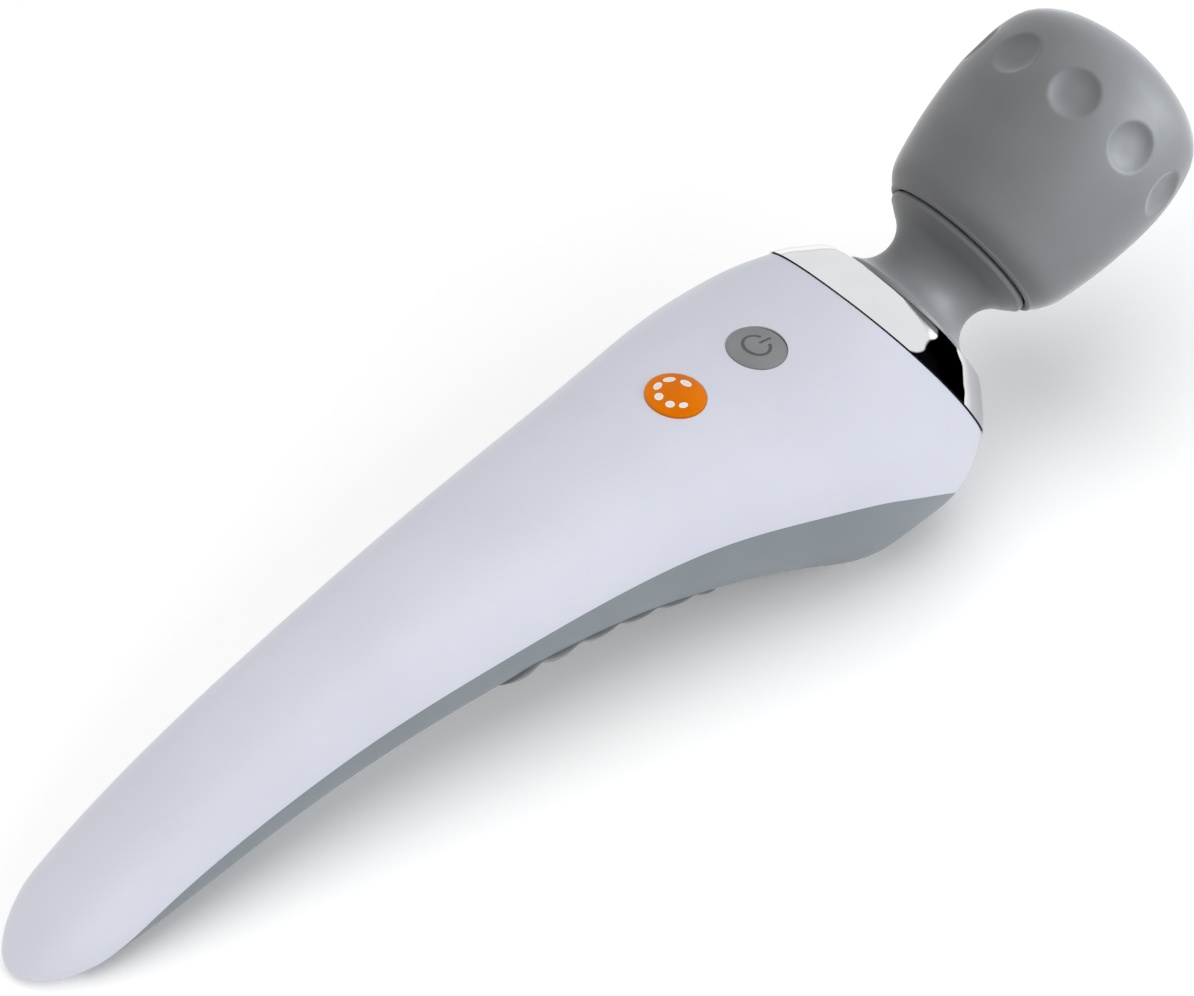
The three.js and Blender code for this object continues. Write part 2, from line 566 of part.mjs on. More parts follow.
// ---- Wiring ----
const jackDepth = 10.4;
const jackInside = [
  jackFrame.position.x - jackDepth * Math.sin(-jackFrame.rotation.y),
  jackFrame.position.z + jackDepth * Math.cos(jackFrame.rotation.y),
];
const polarities = [['positive', 1, WIRE_RED], ['negative', -1, WIRE_BLACK]];
for (const [pole, side, colour] of polarities) {
  const y = 1.3 * side;
  addPiece(`jack_lead_${pole}`, wire([
    [jackInside[0], y, jackInside[1]], [jackInside[0] + 4, y * 2, jackInside[1] + 2.6], [-189, 5.4 * side, 19],
    [-165, y, 26], [-132, y, 35], [-122, y, 40.8], [-110, y, 41.1], [-72, y, 41.1], [-60, y, 42.4],
  ], 0.6, 16, 2), colour);
  addPiece(`battery_lead_${pole}`, wire([
    [cellEnd + 1.4, CELL.side * side, 35], [cellEnd + 3, CELL.side * side, 38], [cellEnd + 4.5, 6 * side, 40],
    [cellEnd + 6, 2 * side, 36.6], [-46, 2 * side, 36.7],
  ], 0.6, 8, 2), colour);
  const lead = [[-20, 4 * side, -3], [-8, 3 * side, 0], [4, 3 * side, 0], [20, 3 * side, 0], [32, 3 * side, 0]];
  addPiece(`motor_lead_${pole}`, wire([...lead, [39.4, 6 * side, 0]], 0.7, 12, 2), colour, headFrame);
}

export default group;
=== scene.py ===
"""Looks of the cordless wand massager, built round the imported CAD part.

Shapes are worked out in millimetres. Handle shapes are measured from the centre of the collar seam along X,
and neck and head shapes from the same point along the head axis.
"""

import json
import math

import bmesh
import bpy
import numpy as np
from mathutils import Matrix, Vector


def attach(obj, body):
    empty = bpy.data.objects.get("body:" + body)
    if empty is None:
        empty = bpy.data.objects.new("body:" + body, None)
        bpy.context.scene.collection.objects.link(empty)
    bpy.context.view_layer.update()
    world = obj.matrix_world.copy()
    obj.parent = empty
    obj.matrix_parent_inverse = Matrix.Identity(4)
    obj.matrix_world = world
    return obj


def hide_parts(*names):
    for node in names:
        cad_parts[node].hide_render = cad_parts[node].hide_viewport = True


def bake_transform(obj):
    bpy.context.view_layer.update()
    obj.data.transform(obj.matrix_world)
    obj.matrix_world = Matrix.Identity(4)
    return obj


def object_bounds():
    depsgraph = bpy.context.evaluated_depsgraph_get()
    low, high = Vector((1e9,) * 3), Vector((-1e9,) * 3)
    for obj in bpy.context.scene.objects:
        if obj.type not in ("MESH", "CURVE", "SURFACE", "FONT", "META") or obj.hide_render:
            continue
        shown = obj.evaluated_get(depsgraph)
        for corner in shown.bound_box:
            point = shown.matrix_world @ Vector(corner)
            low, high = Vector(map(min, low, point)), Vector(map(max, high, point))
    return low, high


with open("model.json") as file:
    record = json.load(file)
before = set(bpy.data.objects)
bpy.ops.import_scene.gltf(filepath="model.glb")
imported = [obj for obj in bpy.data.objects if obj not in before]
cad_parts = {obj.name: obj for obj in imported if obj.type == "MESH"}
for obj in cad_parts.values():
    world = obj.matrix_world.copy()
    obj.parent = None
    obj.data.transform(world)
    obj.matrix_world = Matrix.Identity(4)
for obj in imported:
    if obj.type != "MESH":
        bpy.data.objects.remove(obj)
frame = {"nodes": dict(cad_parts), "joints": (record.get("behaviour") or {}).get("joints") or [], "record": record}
cad_low, cad_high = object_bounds()

# ---- Frame of the wand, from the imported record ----
MM = 0.001
WAIST_AT = 18.6  # collar seam to the middle of the neck, along the head axis
joints = {joint["name"]: joint for joint in frame["joints"]}
pivot = np.array(joints["neck_bend_fore_aft"]["pos_m"]) / MM
head_axis = np.array(joints["motor_spin"]["axis"])
head_axis /= np.linalg.norm(head_axis)
side_axis = np.array([0.0, 1.0, 0.0])
head_up = np.cross(head_axis, side_axis)
seam = pivot - WAIST_AT * head_axis
slots = {part["node"]: part["material_slot"] for part in frame["record"]["subparts"]}

# ---- Driving dimensions, as in the CAD ----
WALL = 2.4
GAP = 0.3  # clearance between neighbouring pieces
SEAM_GAP = 0.26  # between the two covers
FULLNESS = 0.88  # 1 is an ellipse, less is squarer
TAIL_ROUNDING = 16.5  # length over which the tail closes
# x, height, lean in degrees, half width, front depth, back depth
STATIONS = np.array([
    [-232, 1.4, 24, 11.4, 5.2, 4.2],
    [-206, 10.7, 22, 15.4, 8.3, 8.0],
    [-178, 20.7, 18, 17.2, 10.0, 12.6],
    [-148, 28.1, 12, 19.2, 12.3, 15.0],
    [-118, 33.3, 6, 22.6, 13.8, 17.0],
    [-90, 36.9, 2, 26.2, 14.4, 20.8],
    [-64, 38.1, 1, 31.0, 15.6, 27.0],
    [-42, 36.4, 5, 37.0, 18.2, 33.2],
    [-31, 35.1, 9.5, 39.2, 20.0, 37.3],
    [-20, 34.0, 15, 40.0, 22.2, 33.0],
    [-8, 35.2, 22, 37.9, 23.3, 31.6],
    [0, 37.1, 27, 33.8, 23.9, 23.9],
])
TAIL_X = STATIONS[0, 0]
# Side view (x, height) of the line where the front and rear covers meet
PARTING = np.array([
    [-224, -3], [-221, 1], [-214, 5.4], [-206, 9.8], [-178, 20.7], [-148, 28.1], [-118, 33.3], [-90, 36.9],
    [-64, 38.1], [-42, 36.3], [-30, 33.8], [-19, 29], [-10, 23], [-2, 14.5], [2, 8], [4, 2],
], float)
# Valleys stand proud of the skin. Ridges fade to edge_share of their height over the width fade.
PAD = dict(
    start=-119, end=-59, half_width=21, corner=9, ridges=6, proud=0.4, ridge=1.1, inset=1.3,
    lip=0.55, skew=0.45, fade=1.6, edge_share=0.6,
)
# flange and under are the upper and lower face of the flange, and stem is the foot of the stem
BUTTON = dict(half_length=6.2, half_width=7.8, top=55.3, flange=51, under=50, stem=48.95)
BUTTON_X = dict(power=-32.6, mode=-55.0)
CASE_SCREWS = [
    dict(x=-16, y=25, split=29, head=23, radius=2.7),
    dict(x=-16, y=-25, split=29, head=23, radius=2.7),
    dict(x=-189, y=0, split=15, head=11, radius=2.2),
]
COVER_LIP = 0.3  # radius of the rounded edges of the covers
SCREW_CLEARANCE = 0.4  # between the head of a case screw and the edge of its hole
SHANK_HOLE = 1.7
BOSS_WALL = 1.5  # how far a boss reaches past the head of its screw
JACK_X = -207
JACK_HOLE = 4.3
HEAD_RIM = 29.3


# ---- Curves ----
def natural_spline(knots, values, at):
    """Smooth curve through values at knots, worked out at the given places."""
    count = len(knots)
    gaps = np.diff(knots)
    slopes = np.diff(values, axis=0) / gaps[:, None]
    system = np.eye(count)
    right = np.zeros_like(values, dtype=float)
    for i in range(1, count - 1):
        system[i, i - 1 : i + 2] = gaps[i - 1], 2 * (gaps[i - 1] + gaps[i]), gaps[i]
        right[i] = 6 * (slopes[i] - slopes[i - 1])
    bends = np.linalg.solve(system, right)
    i = np.clip(np.searchsorted(knots, at, side="right") - 1, 0, count - 2)
    gap = gaps[i][:, None]
    before = (at - knots[i])[:, None]
    after = gap - before
    return (
        (bends[i] * after**3 + bends[i + 1] * before**3) / (6 * gap)
        + (values[i] / gap - bends[i] * gap / 6) * after
        + (values[i + 1] / gap - bends[i + 1] * gap / 6) * before
    )


def smooth_line(points, step):
    """Even points, about a step apart, along a smooth curve through the given points."""
    points = np.asarray(points, float)
    reach = np.concatenate([[0], np.cumsum(np.linalg.norm(np.diff(points, axis=0), axis=1))])
    fine = natural_spline(reach, points, np.linspace(0, reach[-1], 40 * len(points)))
    length = np.concatenate([[0], np.cumsum(np.linalg.norm(np.diff(fine, axis=0), axis=1))])
    even = np.linspace(0, length[-1], max(2, int(length[-1] / step)) + 1)
    return np.stack([np.interp(even, length, column) for column in fine.T], axis=1)


def arc(centre, radius, start, end, steps):
    """Points on part of a circle in the profile plane, angles in degrees."""
    angles = np.radians(np.linspace(start, end, steps + 1))
    return np.stack([centre[0] + radius * np.cos(angles), centre[1] + radius * np.sin(angles)], axis=1)


def smooth_step(value, low, high):
    """Rises smoothly from 0 at low to 1 at high."""
    share = np.clip((value - low) / (high - low), 0, 1)
    return share * share * (3 - 2 * share)


# ---- Handle skin ----
def bulge(value, fullness=FULLNESS):
    """A sine or cosine made squarer, for outlines between an ellipse and a rounded box."""
    return np.sign(value) * np.abs(value) ** fullness


def skin(x, angle):
    """Points of the skin. Angle 0 is the widest line and 90 degrees is the front."""
    height, lean, wide, front, back = natural_spline(STATIONS[:, 0], STATIONS[:, 1:], x).T
    reach = np.clip((x - TAIL_X) / TAIL_ROUNDING, 0, 1)
    closing = np.sqrt(1 - (1 - reach) ** 2)
    sine, cosine = np.sin(angle), np.cos(angle)
    depth = np.where(sine > 0, front, back)
    rise = (front - back) / 2 * (1 - closing) + bulge(sine) * depth * closing
    side = bulge(cosine) * wide * closing
    lean = np.radians(lean)
    above_table = np.maximum(height + rise * np.cos(lean), 0)
    return np.stack([x - rise * np.sin(lean), side, above_table], axis=1)


def skin_normals(x, angle):
    """Outward directions of the skin."""
    nudge_x, nudge_angle = 0.1, 0.01
    high_x, low_x = np.minimum(x + nudge_x, 0), np.maximum(x - nudge_x, TAIL_X)
    along = skin(high_x, angle) - skin(low_x, angle)
    around = skin(x, angle + nudge_angle) - skin(x, angle - nudge_angle)
    normals = np.cross(around, along)
    length = np.linalg.norm(normals, axis=1)
    tip = math.radians(STATIONS[0, 2])
    normals[length < 1e-6] = -math.cos(tip), 0, -math.sin(tip)
    return normals / np.linalg.norm(normals, axis=1)[:, None]


def parting_distance(points):
    """About how far points are in front of the line where the two covers meet."""
    slopes = np.gradient(PARTING[:, 1], PARTING[:, 0])
    nearest = np.clip(points[:, 0], PARTING[0, 0], PARTING[-1, 0])
    height = natural_spline(PARTING[:, 0], PARTING[:, 1:], nearest)[:, 0]
    past = points[:, 0] - nearest
    height += past * np.where(past > 0, slopes[-1], slopes[0])
    slope = np.interp(points[:, 0], PARTING[:, 0], slopes)
    return (points[:, 2] - height) / np.sqrt(1 + slope**2)


def oval_distance(points, x, grow):
    """About how far points are outside an upright oval hole for a button."""
    long, wide = BUTTON["half_length"] + grow, BUTTON["half_width"] + grow
    across, along = (points[:, 0] - x) / long, points[:, 1] / wide
    share = np.maximum(np.hypot(across, along), 1e-6)
    steep = np.hypot(across / long, along / wide) / share
    return (share - 1) / steep


def pad_distance(points, grow):
    """How far points are outside the plan shape of the grip pad."""
    middle = (PAD["start"] + PAD["end"]) / 2
    half_length = (PAD["end"] - PAD["start"]) / 2 + grow
    corner = PAD["corner"] + grow
    across = np.abs(points[:, 0] - middle) - half_length + corner
    along = np.abs(points[:, 1]) - PAD["half_width"] - grow + corner
    outside = np.hypot(np.maximum(across, 0), np.maximum(along, 0))
    return outside + np.minimum(np.maximum(across, along), 0) - corner


# ---- Sheets: pieces of the skin, trimmed to a line and given a wall and rounded edges ----
def skin_grid(rows, angles, wrap):
    """Places (x, angle) on the skin and the faces between them. A row at the tail tip closes to one point."""
    pole = rows[0] <= TAIL_X
    columns = len(angles)
    places = [(rows[0], angles[0])] if pole else []
    first = 1 if pole else 0
    for x in rows[first:]:
        places += [(x, angle) for angle in angles]
    start = len(places) - columns * (len(rows) - first)

    def index(row, column):
        return start + (row - first) * columns + column % columns

    faces = []
    spans = columns if wrap else columns - 1
    for column in range(spans):
        if pole:
            faces.append((0, index(1, column + 1), index(1, column)))
        for row in range(first, len(rows) - 1):
            corners = (row, column), (row, column + 1), (row + 1, column + 1), (row + 1, column)
            faces.append(tuple(index(*corner) for corner in corners))
    return np.array(places, float), faces


SHORTEST_CUT = 0.03  # share of an edge that a cut leaves at least, so that no sliver is made


def divide(places, faces, values):
    """Cuts faces where values pass through zero. Gives new places, the faces above zero and the others."""
    cuts, added = {}, []

    def cut(a, b):
        low, high = min(a, b), max(a, b)
        if (low, high) not in cuts:
            share = np.clip(values[low] / (values[low] - values[high]), SHORTEST_CUT, 1 - SHORTEST_CUT)
            step = places[high] - places[low]
            if low == 0 and places[0][0] <= TAIL_X:
                step[1] = 0  # the angle means nothing at the tail tip
            step[1] = (step[1] + math.pi) % (2 * math.pi) - math.pi
            cuts[low, high] = len(places) + len(added)
            added.append(places[low] + share * step)
        return cuts[low, high]

    above, below = [], []
    inside = values > 0
    for face in faces:
        flags = [inside[i] for i in face]
        if all(flags):
            above.append(face)
        elif not any(flags):
            below.append(face)
        else:
            high, low = [], []
            for k, a in enumerate(face):
                b = face[(k + 1) % len(face)]
                (high if inside[a] else low).append(a)
                if inside[a] != inside[b]:
                    point = cut(a, b)
                    high.append(point)
                    low.append(point)
            above.append(tuple(high))
            below.append(tuple(low))
    return np.concatenate([places, np.array(added).reshape(-1, 2)]), above, below


def edge_loops(faces):
    """Rings of points round the open edges of the faces, with the faces on the left."""
    edges = {(face[k], face[(k + 1) % len(face)]) for face in faces for k in range(len(face))}
    following = {a: b for a, b in edges if (b, a) not in edges}
    loops = []
    while following:
        start, point = following.popitem()
        loop = [start]
        while point != start:
            loop.append(point)
            point = following.pop(point)
        loops.append(loop)
    return loops


TUBE_REACH = 8  # an open edge within this distance of a tube's axis is the tube's hole


def thicken(points, normals, inner, faces, lip, floor=None, tubes=()):
    """Closed wall under a sheet: rounded edges of radius lip, an inner skin, and a recess where asked.

    floor is (faces, points) for the recess. tubes is a list of (x, y, rings) for deep round holes. A ring is
    (radius, height), and a height of None is just past the inner skin. Gives all points, faces and normals.
    """
    count = len(points)
    all_points = [points, inner]
    all_normals = [normals, -normals]
    all_faces = list(faces)
    lower = list(faces)
    floor_points = set()
    if floor:
        floor_faces, sunk = floor
        all_points.append(sunk)
        all_normals.append(normals)
        all_faces += [tuple(2 * count + i for i in face) for face in floor_faces]
        lower += floor_faces
        floor_points = {i for face in floor_faces for i in face}
    all_faces += [tuple(count + i for i in reversed(face)) for face in lower]
    total = sum(len(part) for part in all_points)
    turns = np.radians([22.5, 45, 67.5, 90])  # steps of the rounded edge
    for loop in edge_loops(faces):
        loop = np.array(loop)
        here = points[loop]
        tangent = np.roll(here, -1, axis=0) - np.roll(here, 1, axis=0)
        facing = normals[loop]
        outward = np.cross(tangent, facing)
        outward /= np.linalg.norm(outward, axis=1)[:, None]
        rings, ring_normals = [], []
        for turn in turns:
            rings.append(here + outward * lip * math.sin(turn) - facing * lip * (1 - math.cos(turn)))
            ring_normals.append(facing * math.cos(turn) + outward * math.sin(turn))
        for x, y, levels in tubes:
            radial = here[:, :2] - [x, y]
            if np.hypot(*radial.T).max() > TUBE_REACH:
                continue
            radial /= np.hypot(*radial.T)[:, None]
            for radius, height in levels:
                level = np.full(len(loop), height) if height is not None else inner[loop][:, 2] + 1
                rings.append(np.column_stack([np.array([x, y]) + radial * radius, level]))
                ring_normals.append(np.column_stack([radial, np.zeros(len(loop))]))
        indices = [loop]
        for ring, ring_normal in zip(rings, ring_normals):
            all_points.append(ring)
            all_normals.append(ring_normal)
            indices.append(total + np.arange(len(loop)))
            total += len(loop)
        on_floor = bool(floor_points) and all(int(i) in floor_points for i in loop)
        indices.append(loop + (2 * count if on_floor else count))
        for upper, under in zip(indices, indices[1:]):
            for k in range(len(loop)):
                after = (k + 1) % len(loop)
                all_faces.append((int(upper[after]), int(upper[k]), int(under[k]), int(under[after])))
    return np.concatenate(all_points), all_faces, np.concatenate(all_normals)


# ---- Meshes ----
MERGE = 2e-6  # metres within which points become one


def in_wand(points):
    """Handle points, measured from the seam along X, as points of the part."""
    return points + [seam[0], 0, 0]


def in_head(points):
    """Points along and across the head axis, measured from the seam, as points of the part."""
    axes = np.stack([head_axis, side_axis, head_up])
    return seam + points @ axes


def add_mesh(name, points, faces, material, normals=None, tidy=False, sharp=None, marks=None):
    """A new object from points in millimetres.

    tidy merges equal points and turns the faces outwards. sharp is the angle in degrees from which an edge
    stays sharp. marks is a dict of values per point, kept as attributes.
    """
    mesh = bpy.data.meshes.new(name)
    used = np.unique(np.concatenate([np.asarray(face) for face in faces]))
    renumber = np.full(len(points), -1)
    renumber[used] = np.arange(len(used))
    mesh.from_pydata((points[used] * MM).tolist(), [], [[int(renumber[i]) for i in face] for face in faces])
    for key, values in (marks or {}).items():
        attribute = mesh.attributes.new(key, "FLOAT", "POINT")
        attribute.data.foreach_set("value", np.asarray(values, np.float32)[used])
    if tidy:
        work = bmesh.new()
        work.from_mesh(mesh)
        bmesh.ops.remove_doubles(work, verts=work.verts, dist=MERGE)
        bmesh.ops.recalc_face_normals(work, faces=work.faces)
        work.to_mesh(mesh)
        work.free()
    mesh.polygons.foreach_set("use_smooth", [True] * len(mesh.polygons))
    if sharp:
        mesh.set_sharp_from_angle(angle=math.radians(sharp))
    if normals is not None:
        mesh.normals_split_custom_set_from_vertices(normals[used].tolist())
    made = bpy.data.objects.new(name, mesh)
    bpy.context.scene.collection.objects.link(made)
    mesh.materials.append(material)
    return made


def ring_faces(rows, columns, closed=False):
    """Faces between rings of points that follow one another."""
    faces = []
    for row in range(rows if closed else rows - 1):
        below = (row + 1) % rows
        for k in range(columns):
            after = (k + 1) % columns
            corners = (row, k), (row, after), (below, after), (below, k)
            faces.append(tuple(r * columns + c for r, c in corners))
    return faces


def end_faces(rows, columns):
    """The two faces that close the first and the last ring."""
    return [tuple(range(columns))[::-1], tuple((rows - 1) * columns + k for k in range(columns))]


def ring_body(rings, columns, closed=True):
    """Rings (along, half width, half depth, fullness) about an axis: points (along, side, up) and faces."""
    rings = np.asarray(rings, float)
    if rings.shape[1] == 2:
        rings = np.column_stack([rings, rings[:, 1], np.ones(len(rings))])
    angles = np.linspace(0, 2 * math.pi, columns, endpoint=False)
    along, wide, deep, fullness = (column[:, None] for column in rings.T)
    side = bulge(np.cos(angles)[None], fullness) * wide
    up = bulge(np.sin(angles)[None], fullness) * deep
    points = np.stack([np.broadcast_to(along, side.shape), side, up], axis=2).reshape(-1, 3)
    return points, ring_faces(len(rings), columns, closed)


# ---- Materials ----
MIX_COLOR_A, MIX_COLOR_B, MIX_COLOR_OUT = 6, 7, 2  # colour sockets of a Mix node


class Finish:
    """Builds one procedural material. Noise scales are in features per metre."""

    def __init__(self, name):
        self.material = bpy.data.materials.new(name)
        self.material.use_nodes = True
        self.nodes = self.material.node_tree.nodes
        self.links = self.material.node_tree.links
        self.surface = self.nodes["Principled BSDF"]
        self.place = self.nodes.new("ShaderNodeTexCoord").outputs["Object"]

    def link(self, value, target):
        """Connects a socket, or sets a colour or a number."""
        if isinstance(value, bpy.types.NodeSocket):
            self.links.new(value, target)
        elif isinstance(value, tuple):
            target.default_value = (*value, 1) if len(target.default_value) == 4 else value
        else:
            target.default_value = value

    def node(self, kind, **inputs):
        """A new node with its inputs connected or set. A name's underscores stand for spaces."""
        made = self.nodes.new("ShaderNode" + kind)
        for key, value in inputs.items():
            self.link(value, made.inputs[key.replace("_", " ")])
        return made

    def noise(self, scale, detail=2, roughness=0.5, stretch=None):
        where = self.node("Mapping", Vector=self.place, Scale=stretch).outputs[0] if stretch else self.place
        node = self.node("TexNoise", Vector=where, Scale=scale, Detail=detail, Roughness=roughness)
        return node.outputs["Fac"]

    def cells(self, scale, feature="F1"):
        node = self.node("TexVoronoi", Vector=self.place, Scale=scale)
        node.feature = feature
        return node.outputs["Distance"]

    def spread(self, value, from_low, from_high, low=0, high=1):
        """Maps a value between two limits, and holds it past them."""
        limits = dict(From_Min=from_low, From_Max=from_high, To_Min=low, To_Max=high)
        return self.node("MapRange", Value=value, **limits).outputs["Result"]

    def math(self, kind, a, b):
        node = self.node("Math")
        node.operation = kind
        self.link(a, node.inputs[0])
        self.link(b, node.inputs[1])
        return node.outputs["Value"]

    def mix(self, share, a, b):
        node = self.node("Mix")
        node.data_type = "RGBA"
        self.link(share, node.inputs["Factor"])
        self.link(a, node.inputs[MIX_COLOR_A])
        self.link(b, node.inputs[MIX_COLOR_B])
        return node.outputs[MIX_COLOR_OUT]

    def bump(self, height, depth, before=None):
        """depth is the height of the relief in metres."""
        node = self.node("Bump", Strength=1, Distance=depth, Height=height)
        if before is not None:
            self.links.new(before, node.inputs["Normal"])
        return node.outputs["Normal"]

    def mark(self, name):
        """The value that add_mesh kept on the points under this name."""
        node = self.node("Attribute")
        node.attribute_name = name
        return node.outputs["Fac"]

    def sharpness(self):
        """0.5 on a flat surface, more on an outer edge."""
        return self.node("NewGeometry").outputs["Pointiness"]

    def mirrored(self):
        """The direction that a perfect mirror would show here, as its three parts."""
        parts = self.node("SeparateXYZ", Vector=self.node("TexCoord").outputs["Reflection"])
        return (parts.outputs[axis] for axis in "XYZ")

    def both(self, a, b):
        """1 where both masks are 1."""
        return self.math("MULTIPLY", a, b)

    def set(self, **values):
        """Connects or sets inputs of the surface by their short names, and gives the material."""
        names = dict(
            color="Base Color", rough="Roughness", metal="Metallic", normal="Normal", coat="Coat Weight",
            sheen="Sheen Weight", sheen_rough="Sheen Roughness",
            scatter="Subsurface Weight", scatter_scale="Subsurface Scale", specular="Specular IOR Level",
            tint="Specular Tint", glow="Emission Color", glow_strength="Emission Strength",
        )
        for key, value in values.items():
            self.link(value, self.surface.inputs[names[key]])
        return self.material


def moulded(name, dark, light, rough=(0.3, 0.38), grain=2600, grain_depth=4e-6, **extra):
    """Injection-moulded plastic: fine grain, slow orange peel, slight colour drift and paler edges."""
    finish = Finish(name)
    drift = finish.spread(finish.noise(28, 3), 0.35, 0.65)
    color = finish.mix(drift, dark, light)
    edge = finish.spread(finish.sharpness(), 0.52, 0.6, 0, 0.03)
    color = finish.mix(edge, color, tuple(min(1, 1.15 * part) for part in light))
    scuffs = finish.noise(90, 2, 0.5)
    peel = finish.bump(finish.noise(320, 1), 1.2e-5)
    relief = finish.bump(finish.noise(grain, 2, 0.6), grain_depth, peel)
    return finish.set(color=color, rough=finish.spread(scuffs, 0.3, 0.7, *rough), normal=relief, **extra)


def silicone(name, dark, light, rough=(0.5, 0.6), grain=3800, grain_depth=1.1e-5, **extra):
    """Soft-touch rubber: matt micro relief, sheen, cloudy colour and a few specks of dust."""
    finish = Finish(name)
    cloud = finish.spread(finish.noise(36, 4, 0.6), 0.3, 0.7)
    color = finish.mix(cloud, dark, light)
    specks = finish.spread(finish.cells(430), 0.0, 0.09, 0.10, 0)
    color = finish.mix(specks, color, tuple(min(1, 1.5 * part + 0.05) for part in light))
    wiped = finish.noise(60, 5, 0.7, (2.5, 1, 1))
    broad = finish.bump(finish.noise(420, 2), 1e-5)
    relief = finish.bump(finish.noise(grain, 3, 0.7), grain_depth, broad)
    rough = finish.spread(wiped, 0.3, 0.7, *rough)
    return finish.set(color=color, rough=rough, normal=relief, sheen=0.45, sheen_rough=0.3, **extra)


def metal(name, dark, light, rough=(0.2, 0.35), stretch=(1, 1, 1), lines=900, depth=4e-6):
    """Machined or wound metal: fine lines, patchy polish and slight tarnish."""
    finish = Finish(name)
    tarnish = finish.spread(finish.noise(90, 4, 0.65), 0.35, 0.7)
    color = finish.mix(tarnish, light, dark)
    turned = finish.noise(lines, 2, 0.6, stretch)
    relief = finish.bump(turned, depth)
    rough = finish.spread(turned, 0.3, 0.7, *rough)
    return finish.set(color=color, metal=1.0, rough=rough, normal=relief)


# Mirrored directions in which the plating gets a painted black reflection, as of a card beside the head. Each pair
# is where an edge begins and ends.
PAINTED_FLAG = dict(ahead=(0.47, 0.5), left=(0.3, 0.34), right=(-0.6, -0.56), low=(-0.3, -0.28), high=(0.84, 0.87))
PAINTED_FLAG_SLANT = 0.085  # how much lower the high edge is for each millimetre towards the head
PAINTED_FLAG_RIPPLE = 0.04  # unevenness of the low and high edges
PAINTED_FLOOR_DIMMING = (-0.45, -0.25)  # upward part of the mirrored directions between which the painted, darker reflection of the floor gives way to the bright tent


def painted_flag_reflection(finish, x, y, z):
    """1 where the plating gets a painted black reflection, as of a card beside the head just clear of the collar.
    """
    ripple = finish.spread(finish.noise(190, 1), 0.3, 0.7, -PAINTED_FLAG_RIPPLE, PAINTED_FLAG_RIPPLE)
    low_edge = finish.math("ADD", ripple, z)
    reach = finish.node("VectorMath")
    reach.operation = "DOT_PRODUCT"
    finish.links.new(finish.place, reach.inputs[0])
    reach.inputs[1].default_value = tuple(head_axis / MM)
    along = finish.math("SUBTRACT", reach.outputs["Value"], float(seam @ head_axis))
    slant = finish.math("MULTIPLY", along, PAINTED_FLAG_SLANT)
    high_edge = finish.math("ADD", low_edge, slant)
    ahead = finish.spread(x, *PAINTED_FLAG["ahead"])
    beside = finish.both(finish.spread(y, *PAINTED_FLAG["left"], 1, 0), finish.spread(y, *PAINTED_FLAG["right"]))
    above = finish.spread(low_edge, *PAINTED_FLAG["low"])
    below = finish.spread(high_edge, *PAINTED_FLAG["high"], 1, 0)
    return finish.both(finish.both(ahead, beside), finish.both(above, below))


def chrome_finish(name):
    """Mirror plating on moulded plastic: slow waves and a few fine hairlines, with a painted darker reflection of
    the floor below and a painted black reflection beside the head.
    """
    finish = Finish(name)
    haze = finish.spread(finish.noise(55, 4, 0.6), 0.35, 0.75)
    color = finish.mix(haze, (0.93, 0.925, 0.915), (0.86, 0.865, 0.87))
    x, y, z = finish.mirrored()
    painted_flag = painted_flag_reflection(finish, x, y, z)
    # Painted reflection: the colour is darker where the mirror looks down towards the floor
    color = finish.mix(finish.spread(z, *PAINTED_FLOOR_DIMMING, 1, 0), color, (0.52, 0.52, 0.56))
    # Painted reflection: black colour and no specular tint where the mirror would show a card beside the head
    color = finish.mix(painted_flag, color, (0.003, 0.003, 0.004))
    tint = finish.mix(painted_flag, (1.0, 1.0, 1.0), (0.0, 0.0, 0.0))
    hair = finish.spread(finish.noise(1500, 3, 0.7, (0.15, 1, 1)), 0.4, 0.75, 0.025, 0.075)
    relief = finish.bump(finish.noise(75, 1), 1.5e-5)
    return finish.set(color=color, metal=1.0, rough=hair, normal=relief, tint=tint)


def board_finish(name):
    """Solder mask over copper tracks on a glass-fibre board."""
    finish = Finish(name)
    weave = finish.noise(1400, 1, 0.5, (1, 1, 0.2))
    tracks = finish.spread(finish.cells(260, "DISTANCE_TO_EDGE"), 0.04, 0.09, 1, 0)
    color = finish.mix(tracks, (0.02, 0.11, 0.05), (0.05, 0.24, 0.11))
    relief = finish.bump(tracks, 3e-5, finish.bump(weave, 6e-6))
    rough = finish.spread(weave, 0.3, 0.7, 0.28, 0.4)
    return finish.set(color=color, rough=rough, normal=relief, coat=0.3)


def marked(name, dark, light, marks, **extra):
    """Moulded key plastic. marks is a list of (name, colour) for the marks kept as values on its points."""
    finish = Finish(name)
    drift = finish.spread(finish.noise(90, 3), 0.35, 0.65)
    color = finish.mix(drift, dark, light)
    for mark, shade in marks:
        color = finish.mix(finish.spread(finish.mark(mark), 0.35, 0.65), color, shade)
    scuffs = finish.noise(500, 4, 0.7)
    relief = finish.bump(finish.noise(3400, 2, 0.6), 5e-6, finish.bump(finish.noise(600, 1), 8e-6))
    rough = finish.spread(scuffs, 0.3, 0.7, 0.3, 0.4)
    return finish.set(color=color, rough=rough, normal=relief, **extra)


